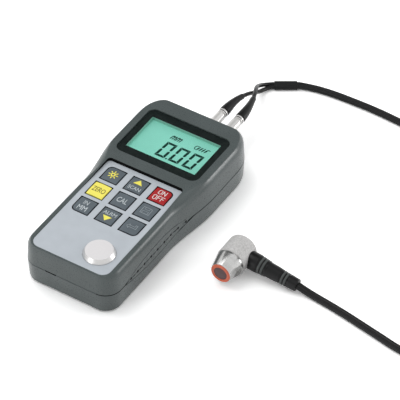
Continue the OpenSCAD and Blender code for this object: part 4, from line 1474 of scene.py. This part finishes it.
@dataclass
class Display:
    """Window, mask, display glass and the reading on it.

    Attributes:
        digit_w: Width of a digit.
        digit_h: Height of a digit.
        stroke: Width of a segment.
        split: Gap between segments.
        slant: Sideways shift from a digit's foot to its top.
        digit_x: Left edges of the digits' feet.
        digit_y: Foot of the digits.
        point_x: Middle of the decimal point's foot.
        point: Corners of the decimal point, from there.
        unit_size: Width and height of the unit.
        unit_at: Middle of the unit.
        unit_weight: How much its strokes are thickened.
        unit_lean: Sideways shift for each step up.
        coupling_line: Width of the coupling mark's strokes.
        coupling_bar: Width of the thick part of its barred strokes.
        opening: Width and length of the mask's opening.
        opening_up: Shift of the opening's middle towards the head.
        opening_edge: Distance of the liner from the opening's edge.
        liner_t: Thickness of the liner.
    """

    digit_w: float = 7.0
    digit_h: float = 13.7
    stroke: float = 1.65
    split: float = 0.14
    slant: float = 1.3
    digit_x: tuple[float, ...] = (-7.0, 2.5, 12.0)
    digit_y: float = 29.7
    point_x: float = 1.2
    point: tuple[Flat, ...] = ((-0.5, 0.0), (0.5, 0.0), (0.6, 1.0), (-0.4, 1.0))
    unit_size: Flat = (7.0, 3.4)
    unit_at: Flat = (-2.7, 48.1)
    unit_weight: float = 0.025
    unit_lean: float = 0.3
    coupling_line: float = 0.5
    coupling_bar: float = 0.95
    opening: Flat = (48.8, 30.0)
    opening_up: float = 0.2
    opening_edge: float = -0.3
    liner_t: float = 0.9

    def build(self) -> None:
        """Dresses the panes and writes the reading."""
        mask = node_copy("display_mask")
        pick_faces(mask, lambda _middle, normal: normal.z > 0.5)
        bpy.ops.transform.translate(value=(0, 0, -INK * MM))
        done()
        smooth(mask)
        settle(mask, "window_mask", MASK_INK, ["display_mask"])
        settle(softened("display_window"), "window_pane", WINDOW, ["display_window"])
        settle(softened("lcd_panel"), "lcd_pane", LCD_GLASS, ["lcd_panel"])
        self.liner()
        self.write()

    def liner(self) -> None:
        """Builds the pale frame that carries the mask over the display glass."""
        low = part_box("lcd_panel")[1][2] + INK * MM
        (x0, y0, mask_z), (x1, y1, _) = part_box("display_mask")
        reach = 2 * (self.opening_edge + self.liner_t) * MM
        middle = ((x0 + x1) / 2, (y0 + y1) / 2 + self.opening_up * MM, low)
        liner = plate(self.opening[0] * MM + reach, self.opening[1] * MM + reach, middle)
        edit_all(liner)
        bpy.ops.mesh.inset(thickness=self.liner_t * MM)
        bpy.ops.mesh.delete(type="FACE")
        bpy.ops.mesh.select_all(action="SELECT")
        bpy.ops.mesh.extrude_region_move(TRANSFORM_OT_translate={"value": (0, 0, mask_z - INK * MM - low)})
        done()
        merge(liner, outwards=True)
        soften(liner, width=0.06, segments=1)
        smooth(liner)
        settle(liner, "display_liner", LINER_GREEN)

    def write(self) -> None:
        """Writes the digits, the decimal point, the unit and the coupling mark."""
        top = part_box("lcd_panel")[1][2] / MM + INK
        marks = []
        for left in self.digit_x:
            marks += self.zero(left)
        marks.append(shifted(self.point, self.point_x, self.digit_y))
        marks += self.coupling()
        reading = joined([flat_mark(corners, top) for corners in marks])
        thicken(reading)
        settle(reading, "reading", LCD_INK)
        unit = lettering("mm", *self.unit_size, (*self.unit_at, top), self.unit_weight)
        for vertex in unit.data.vertices:
            vertex.co.x += self.unit_lean * (vertex.co.y - self.unit_at[1] * MM)
        thicken(unit)
        settle(unit, "reading_unit", LCD_INK)

    def slanted(self, x: float, y: float) -> Flat:
        """Leans a point of the reading."""
        return x + self.slant * (y - self.digit_y) / self.digit_h, y

    def zero(self, left: float) -> list[Outline]:
        """Works out the six segments of a 0.

        Args:
            left: Left edge of its foot.

        Returns:
            The segments' corners.
        """
        w, h, s, gap = self.digit_w, self.digit_h, self.stroke, self.split
        y, knee = self.digit_y, h / 2 - s / 2 - gap
        across = [(gap, 0), (w - gap, 0), (w - s - gap, s), (s + gap, s)]
        upright = [(0, gap), (s, s + gap), (s, knee), (s / 2, h / 2 - gap), (0, knee)]
        segments = [
            [(left + a, y + b) for a, b in across],
            [(left + a, y + h - b) for a, b in reversed(across)],
            [(left + a, y + b) for a, b in upright],
            [(left + a, y + h - b) for a, b in reversed(upright)],
            [(left + w - a, y + b) for a, b in reversed(upright)],
            [(left + w - a, y + h - b) for a, b in upright]]
        return [[self.slanted(*p) for p in segment] for segment in segments]

    def coupling(self) -> list[Outline]:
        """Works out the coupling mark above the last digit: an arc, four barred strokes and a hook.

        Returns:
            The strokes' corners.
        """
        arc = [(12.4, 49.7), (11.2, 49.4), (10.6, 48.4), (10.6, 47.4), (11.0, 46.6), (11.8, 46.3)]
        hook = [(20.2, 49.5), (19.4, 49.8), (18.8, 49.2)]
        stroke, bar = [(0.0, 46.4), (1.0, 49.6)], [(0.35, 47.5), (0.65, 48.5)]
        first, pitch, count = 12.4, 1.75, 4
        marks = line_marks(arc, self.coupling_line) + line_marks(hook, self.coupling_line)
        for k in range(count):
            x = first + pitch * k
            marks += line_marks(shifted(stroke, x, 0), self.coupling_line)
            marks += line_marks(shifted(bar, x, 0), self.coupling_bar)
        return marks


# Keypad


class Tone(Enum):
    """Key colours."""

    GREY = KEY_GREY
    RED = KEY_RED
    YELLOW = KEY_YELLOW

    @property
    def slot(self) -> str:
        """Record slot of this key colour."""
        return f"key_{self.name.lower()}"


@dataclass
class Key:
    """One key and what is printed on it.

    Attributes:
        node: Its CAD node and body.
        tone: Its colour.
        words: Lines of (text, width, height, along) in millimetres from its middle.
        word_ink: Finish of the words.
        marks: Corners of flat marks, from its middle.
        mark_ink: Finish of the marks.
        edge: Rounding of the cap's edges.
    """

    node: str
    tone: Tone = Tone.GREY
    words: tuple[tuple[str, float, float, float], ...] = ()
    word_ink: Finish = INK_PALE
    marks: Sequence[Outline] = ()
    mark_ink: Finish = INK_YELLOW
    edge: float = 0.28

    def build(self) -> None:
        """Builds the cap and prints it."""
        cap = softened(self.node, width=self.edge, angle=60, shade=40)
        settle(cap, f"{self.node}_cap", self.tone.value, [self.node], self.node)
        low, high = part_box(self.node)
        x, y, top = (low[0] + high[0]) / 2 / MM, (low[1] + high[1]) / 2 / MM, high[2] / MM
        if self.marks:
            marks = [flat_mark(shifted(corners, x, y), top) for corners in self.marks]
            self.print_on(cap, joined(marks), f"{self.node}_mark", self.mark_ink)
        if self.words:
            lines = [lettering(text, w, h, (x, y + along, top)) for text, w, h, along in self.words]
            self.print_on(cap, joined(lines), f"{self.node}_words", self.word_ink)

    def print_on(self, cap: Piece, mark: Piece, name: str, finish: Finish) -> None:
        """Lays a mark on the crowned cap.

        Args:
            cap: The key's cap.
            mark: The flat mark over it.
            name: Name of the printed piece.
            finish: Its ink.
        """
        edit_all(mark)
        bpy.ops.mesh.quads_convert_to_tris()
        bpy.ops.mesh.subdivide(number_cuts=3)
        done()
        drop = mark.modifiers.new("drop", "SHRINKWRAP")
        drop.target = cap
        drop.wrap_method = "PROJECT"
        drop.use_project_z = True
        drop.use_negative_direction = True
        drop.use_positive_direction = True
        drop.wrap_mode = "ABOVE_SURFACE"
        drop.offset = INK * MM
        apply_all(mark)
        thicken(mark)
        settle(mark, name, finish, body=self.node)


def sun_marks() -> list[Outline]:
    """Draws a sun: eight tapered rays round a ring.

    Returns:
        Corners of each mark.
    """
    rays, parts = 8, 12
    ray = ((1.9, -0.42), (3.3, -0.24), (3.3, 0.24), (1.9, 0.42))
    inner, outer = 0.75, 1.6
    marks = []
    for k in range(rays):
        c, s = math.cos(math.tau * k / rays), math.sin(math.tau * k / rays)
        marks.append([(c * r - s * w, s * r + c * w) for r, w in ray])
    for k in range(parts):
        a, b = math.tau * k / parts, math.tau * (k + 1) / parts
        corners = ((inner, a), (outer, a), (outer, b), (inner, b))
        marks.append([(r * math.cos(t), r * math.sin(t)) for r, t in corners])
    return marks


def power_marks() -> list[Outline]:
    """Draws the words ON and OFF in thin square letters.

    Returns:
        Corners of each stroke.
    """
    line, on_y, off_y = 0.4, 0.75, -4.1
    o = [(0.0, 0.5), (0.5, 0.0), (1.5, 0.0), (2.0, 0.5), (2.0, 2.8), (1.5, 3.3), (0.5, 3.3), (0.0, 2.8)]
    n = [(0.0, 0.0), (0.0, 3.3), (2.0, 0.0), (2.0, 3.3)]
    f = [(0.0, 0.0), (0.0, 3.3), (1.7, 3.3)]
    bar = [(0.0, 1.75), (1.4, 1.75)]
    strokes = []
    for letter, left, low in ((o, -2.45, on_y), (n, 0.45, on_y), (o, -3.4, off_y), (f, -0.45, off_y),
                              (bar, -0.45, off_y), (f, 2.1, off_y), (bar, 2.1, off_y)):
        strokes += line_marks(shifted(letter, left, low), line, letter is o)
    return strokes


def save_marks() -> list[Outline]:
    """Draws a memory disc: an outline with a cut corner, a slide and a label field.

    Returns:
        Corners of each stroke.
    """
    thick, thin = 0.36, 0.3
    body = [(-2.9, -2.6), (2.9, -2.6), (2.9, 1.9), (2.2, 2.6), (-2.9, 2.6)]
    slide = [(-1.5, 2.6), (-1.5, 0.8), (1.5, 0.8), (1.5, 2.6)]
    label = [(-1.9, -2.6), (-1.9, -0.6), (1.9, -0.6), (1.9, -2.6)]
    return line_marks(body, thick, True) + line_marks(slide, thin) + line_marks(label, thin)


def enter_marks() -> list[Outline]:
    """Draws the outline of an arrow that turns back to the left.

    Returns:
        Corners of each stroke.
    """
    line = 0.36
    arrow = [(-3.3, -0.5), (-1.7, -2.1), (-1.7, -1.2), (3.1, -1.2), (3.1, 1.7), (1.9, 1.7), (1.9, 0.2),
             (-1.7, 0.2), (-1.7, 1.1)]
    return line_marks(arrow, line, True)


UP_MARKS = ([(-3.0, 0.6), (3.0, 0.6), (0.0, 4.6)],)
DOWN_MARKS = ([(0.0, -4.4), (3.0, -0.6), (-3.0, -0.6)],)


@dataclass
class Keypad:
    """The label and its keys.

    Attributes:
        keys: The keys, row by row from the head end.
        border: Width of the dark line round a key's opening.
        gap: Distance of that line from the key.
        corner_r: Corner radius of the keys at the corners of the pad.
        well_room: How far the key openings reach past the keys.
    """

    keys: tuple[Key, ...] = (
        Key("key_backlight", marks=sun_marks()),
        Key("key_up", words=(("SCAN", 8.2, 2.6, -2.9),), marks=UP_MARKS),
        Key("key_power", Tone.RED, marks=power_marks(), mark_ink=INK_WHITE),
        Key("key_zero", Tone.YELLOW, (("ZERO", 8.5, 3.9, 0.0),), INK_DARK),
        Key("key_cal", words=(("CAL", 7.0, 4.1, -0.2),)),
        Key("key_save", marks=save_marks(), mark_ink=INK_FAINT),
        Key("key_units", words=(("IN", 3.2, 3.3, 2.2), ("MM", 6.1, 3.7, -2.5))),
        Key("key_down", words=(("ALRM", 8.6, 2.9, 2.1),), marks=DOWN_MARKS),
        Key("key_enter", marks=enter_marks(), mark_ink=INK_FAINT))
    border: float = 0.3
    gap: float = 0.5
    corner_r: float = 2.6
    well_room: float = 0.8

    def build(self) -> None:
        """Dresses the label, with painted shade on the walls of its key openings, and builds each key."""
        label = node_copy("keypad_panel")
        smooth(label)
        settle(label, "keypad_label", LABEL_FILM, ["keypad_panel"])
        # Painted shade: the walls of the key openings are black where shade falls between label and keys
        tint_faces(label, SHADE_BLACK, self.well_test())
        borders = joined([self.key_border(k, key.node) for k, key in enumerate(self.keys)])
        thicken(borders)
        settle(borders, "key_borders", INK_BLACK)
        for key in self.keys:
            key.build()

    def well_test(self) -> FaceTest:
        """Makes a test for the walls of the key openings, which get painted shade.

        Returns:
            Takes a face's middle in millimetres and its normal, and tells an upright one among the keys.
        """
        low = [c / MM - self.well_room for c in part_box("key_units")[0]]
        high = [c / MM + self.well_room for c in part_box("key_power")[1]]

        def is_well(middle: Vector, normal: Vector) -> bool:
            """Tells an upright face among the keys."""
            return abs(normal.z) < 0.5 and all(low[k] < middle[k] < high[k] for k in (0, 1))

        return is_well

    def key_border(self, place: int, node: str) -> Piece:
        """Prints the dark line round one key's opening.

        Args:
            place: Number of the key, row by row.
            node: The key's CAD node.

        Returns:
            The flat frame.
        """
        low, high = (Vector(corner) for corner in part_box(node))
        middle = (low + high) / 2
        reach = 2 * (self.gap + self.border) * MM
        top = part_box("keypad_panel")[1][2]
        line = plate(high.x - low.x + reach, high.y - low.y + reach, (middle.x, middle.y, top))
        across, along = place % 3 - 1, 1 - place // 3
        edit_all(line)
        bpy.ops.mesh.select_all(action="DESELECT")
        done()
        for vertex in line.data.vertices:
            side = vertex.co - middle
            vertex.select = bool(across and along) and side.x * across > 0 and side.y * along > 0
        bpy.ops.object.mode_set(mode="EDIT")
        if across and along:
            radius = (self.corner_r + self.gap + self.border) * MM
            bpy.ops.mesh.bevel(offset=radius, segments=8, affect="VERTICES")
        bpy.ops.mesh.select_mode(type="FACE")
        bpy.ops.mesh.select_all(action="SELECT")
        bpy.ops.mesh.inset(thickness=self.border * MM)
        bpy.ops.mesh.delete(type="FACE")
        done()
        return line


@dataclass
class CalibrationDisc:
    """The steel disc that the probe is set to zero on.

    Attributes:
        radius: Radius of its base.
        top_r: Radius of its top face.
        band: Height of its straight side above the label.
        bevel: Bevel of its base and of its band.
        edge: Radius of its top edge.
        edge_in: How far the middle of that edge lies inside top_r.
    """

    radius: float = 9.85
    top_r: float = 8.3
    band: float = 0.5
    bevel: float = 0.1
    edge: float = 0.3
    edge_in: float = 0.18

    def build(self) -> None:
        """Turns the disc with a rounded top edge, with a lighter top and a darker side of painted light and
        shade.
        """
        low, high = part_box("calibration_disc")
        base, top = low[2] / MM, high[2] / MM
        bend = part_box("keypad_panel")[1][2] / MM + self.band
        rim = self.radius - self.bevel
        edge = rounded(self.top_r - self.edge_in, top - self.edge, self.edge, start=30, sweep=60)
        disc = turned([(0, base), (rim, base), (self.radius, base + self.bevel),
                       (self.radius, bend - 2 * self.bevel), (rim, bend), *edge, (0, top)], steps=128)
        smooth(disc, 30)
        placed(disc, Matrix.Identity(3), (*DISC_CENTRE, 0.0))
        settle(disc, "calibration_disc_turned", DISC_TOP_LIT, ["calibration_disc"])
        # Painted shade: the cone takes the darker copy of the disc's steel
        tint_faces(disc, DISC_CONE_SHADED, lambda _middle, normal: abs(normal.z) < 0.9)


# Probe


@dataclass
class Probe:
    """The right-angle probe that lies beside the gauge.

    Attributes:
        x: Its axis across.
        front_y: Its front face.
        z: Height of its axis.
        housing_l: Length of the housing.
        r: Radius of the housing.
        front_edge: Bevel of the housing's front edge.
        edge: Radius of the housing's back edge.
        bore_r: Radius of the bore for the boot's neck.
        bore_l: Length of that bore.
        bore_from: Where the bore begins, along the boot.
        nose_l: Length of the nose.
        nose_r: Radius of the nose at its front.
        root_r: Radius of the nose at the housing.
        root_l: Length of the straight band at the housing.
        nose_edges: Bevels of the nose's front and back edge.
        seat_r: Radius of the seat for the ring.
        seat_l: Depth of that seat.
        flat_depth: Depth of the nose's flats.
        flat_l: Length of the flats.
        flat_h: Height of the flats.
        ring_r: Inner and outer radius of the insulating ring.
        ring_lip: How far the ring reaches over the wear face.
        ring_front: How far the ring stands out of the nose.
        face_r: Radius of the wear face.
        face_front: How far the wear face stands out of the nose.
        insert_l: Depth of ring and wear face in the nose.
        boot_shift: How far the boot sits behind the housing's middle.
        boot_l: Reach of the boot from the housing's axis.
        boot_end_z: Height of the boot's end.
        groove_first: Start of the first groove of each group, along the boot.
        groove_pitch: Spacing of the grooves.
        groove_share: Share of that spacing that a groove takes.
    """

    x: float = 70.1
    front_y: float = -18.6
    z: float = 9.3
    housing_l: float = 16.6
    r: float = 9.3
    front_edge: float = 0.35
    edge: float = 3.4
    bore_r: float = 3.1
    bore_l: float = 8.0
    bore_from: float = 6.3
    nose_l: float = 10.8
    nose_r: float = 6.7
    root_r: float = 8.9
    root_l: float = 1.6
    nose_edges: Flat = (0.2, 0.3)
    seat_r: float = 6.36
    seat_l: float = 4.0
    flat_depth: float = 0.15
    flat_l: float = 9.0
    flat_h: float = 7.4
    ring_r: Flat = (4.95, 6.3)
    ring_lip: float = 0.6
    ring_front: float = 0.46
    face_r: float = 4.9
    face_front: float = 0.3
    insert_l: float = 3.9
    boot_shift: float = 0.7
    boot_l: float = 40.6
    boot_end_z: float = 3.95
    groove_first: Flat = (14.4, 29.6)
    groove_pitch: float = 2.2
    groove_share: float = 0.45

    @property
    def at(self) -> Point:
        """Middle of the front face."""
        return (self.x, self.front_y, self.z)

    @property
    def boot_tilt(self) -> float:
        """How far the boot leans down to the floor, in radians."""
        return math.asin((self.z - self.boot_end_z) / self.boot_l)

    @property
    def boot_ahead(self) -> Vector:
        """Direction of the boot."""
        return Vector((math.cos(self.boot_tilt), 0, -math.sin(self.boot_tilt)))

    @property
    def boot_start(self) -> Vector:
        """Where the boot's axis meets the housing's axis."""
        return Vector((self.x, self.front_y + self.nose_l + self.housing_l / 2 + self.boot_shift, self.z))

    def build(self) -> None:
        """Builds housing, nose, ring, face and boot."""
        self.housing()
        self.nose()
        self.ring()
        self.face()
        boot = softened("probe_boot", width=0.16, angle=35, shade=40)
        settle(boot, "probe_boot_moulded", RUBBER, ["probe_boot"])
        # Painted highlight on the rib crests
        tint_faces(boot, RUBBER_HIGHLIGHT, self.is_rib)

    def housing(self) -> None:
        """Turns the satin housing with its rounded back edge, and bores it for the boot's neck."""
        back = self.nose_l + self.housing_l
        edge = rounded(self.r - self.edge, back - self.edge, self.edge, start=0, sweep=90, steps=10)
        housing = turned([(0, self.nose_l), (self.r - self.front_edge, self.nose_l),
                          (self.r, self.nose_l + self.front_edge), *edge, (0, back)], steps=128)
        placed(housing, ALONG_Y, self.at)
        bore = turned([(0, 0), (self.bore_r, 0), (self.bore_r, self.bore_l), (0, self.bore_l)], steps=48)
        start = self.boot_start + self.boot_ahead * self.bore_from
        placed(bore, Matrix.Rotation(math.radians(90) + self.boot_tilt, 3, "Y"), tuple(start))
        cut_away(housing, bore)
        smooth(housing, 32)
        settle(housing, "probe_housing_turned", PROBE_SATIN, ["probe_housing"])

    def nose(self) -> None:
        """Turns the polished nose and mills its two flats."""
        front, back = self.nose_edges
        nose = turned([(self.seat_r, 0), (self.nose_r - front, 0), (self.nose_r, front),
                       (self.root_r, self.nose_l - self.root_l), (self.root_r, self.nose_l - back),
                       (self.root_r - back, self.nose_l), (0, self.nose_l), (0, self.seat_l),
                       (self.seat_r, self.seat_l), (self.seat_r, 0)], steps=128)
        placed(nose, ALONG_Y, self.at)
        ahead = 1.0
        out = 2 * self.nose_r - self.flat_depth
        for side in (-1, 1):
            deselect()
            bpy.ops.mesh.primitive_cube_add(size=MM)
            block = bpy.context.view_layer.objects.active
            block.scale = (2 * self.nose_r, self.flat_l + 2 * ahead, self.flat_h)
            middle = (self.x + side * out, self.front_y + self.flat_l / 2 - ahead, self.z)
            block.location = Vector(middle) * MM
            cut_away(nose, block)
        smooth(nose, 28)
        settle(nose, "probe_nose_turned", PROBE_BRIGHT, ["probe_nose"])

    def ring(self) -> None:
        """Turns the insulating ring, with a lip over the wear face."""
        inner, outer = self.ring_r
        lip = inner - self.ring_lip
        edge, rim_in, rim_back, clear = 0.1, 0.2, 0.24, 0.01
        front, behind = -self.ring_front, -self.face_front - clear
        profile = [(lip, front + edge), (lip + edge, front), (outer - rim_in, front),
                   (outer, front + rim_back), (outer, self.insert_l), (inner, self.insert_l),
                   (inner, behind), (lip, behind), (lip, front + edge)]
        ring = turned_along(profile, steps=72, shade=40, at=self.at)
        settle(ring, "insulating_ring", RING_ORANGE, ["probe_ring"])

    def face(self) -> None:
        """Turns the wear face."""
        edge_in, edge_back = 0.15, 0.1
        front = -self.face_front
        profile = [(0, front), (self.face_r - edge_in, front), (self.face_r, front + edge_back),
                   (self.face_r, self.insert_l), (0, self.insert_l)]
        face = turned_along(profile, steps=72, shade=40, at=self.at)
        settle(face, "wear_face_disc", WEAR_FACE, ["probe_face"])

    def is_rib(self, middle: Vector, normal: Vector) -> bool:
        """Tells the crests between the boot's grooves, which get a painted highlight.

        Args:
            middle: Middle of a face in millimetres.
            normal: Its normal.

        Returns:
            Whether the face is a crest.
        """
        along = (middle - self.boot_start).dot(self.boot_ahead)
        steps = [(along - first) / self.groove_pitch for first in self.groove_first]
        crest = any(0 < step < 2 and step % 1 > self.groove_share for step in steps)
        return crest and abs(normal.dot(self.boot_ahead)) < 0.8


# Pieces inside


@dataclass
class Inside:
    """CAD nodes that keep their own shape and only take a finish.

    Attributes:
        finishes: Finish of each node.
    """

    finishes: dict[str, Finish] = field(default_factory=lambda: {
        "lcd_backlight": LIGHT_GUIDE, "dome_sheet": SPRING_METAL, "main_board": BOARD_GREEN,
        "cell_left": CELL_WRAP, "cell_right": CELL_WRAP, "contact_bridge": SPRING_METAL,
        "contact_spring": SPRING_METAL, "contact_button": SPRING_METAL, "socket_left": SOCKET_METAL,
        "socket_right": SOCKET_METAL, "plug_core_left": PLUG_METAL, "plug_core_right": PLUG_METAL})

    def build(self) -> None:
        """Dresses the nodes."""
        for node, finish in self.finishes.items():
            dress(frame["nodes"][node], finish)
            LOG.info("dressed %s", node)


def main() -> None:
    """Builds the camera, the plugs and their cable, and then each other sub-assembly."""
    logging.basicConfig(level=logging.INFO, format="%(name)s: %(message)s")
    PhotoCamera().build()
    left_bend = ((0, 0, 0), (0, 5, 0), (0.1, 10, -0.2), (0.5, 15.5, -0.8), (1, 20.6, -1.9))
    right_bend = ((0, 0, 0), (-0.2, 5, 0), (-0.9, 11, -0.2), (-2.2, 17, -0.8), (-3.6, 22, -1.6))
    plugs = (Plug(Side.LEFT, 3.8, left_bend), Plug(Side.RIGHT, 15.2, right_bend))
    Cable({plug.side: plug.build() for plug in plugs}).build()
    Case().build()
    Display().build()
    Keypad().build()
    CalibrationDisc().build()
    Probe().build()
    Inside().build()
    Studio().build()


if __name__ == "__main__":
    main()
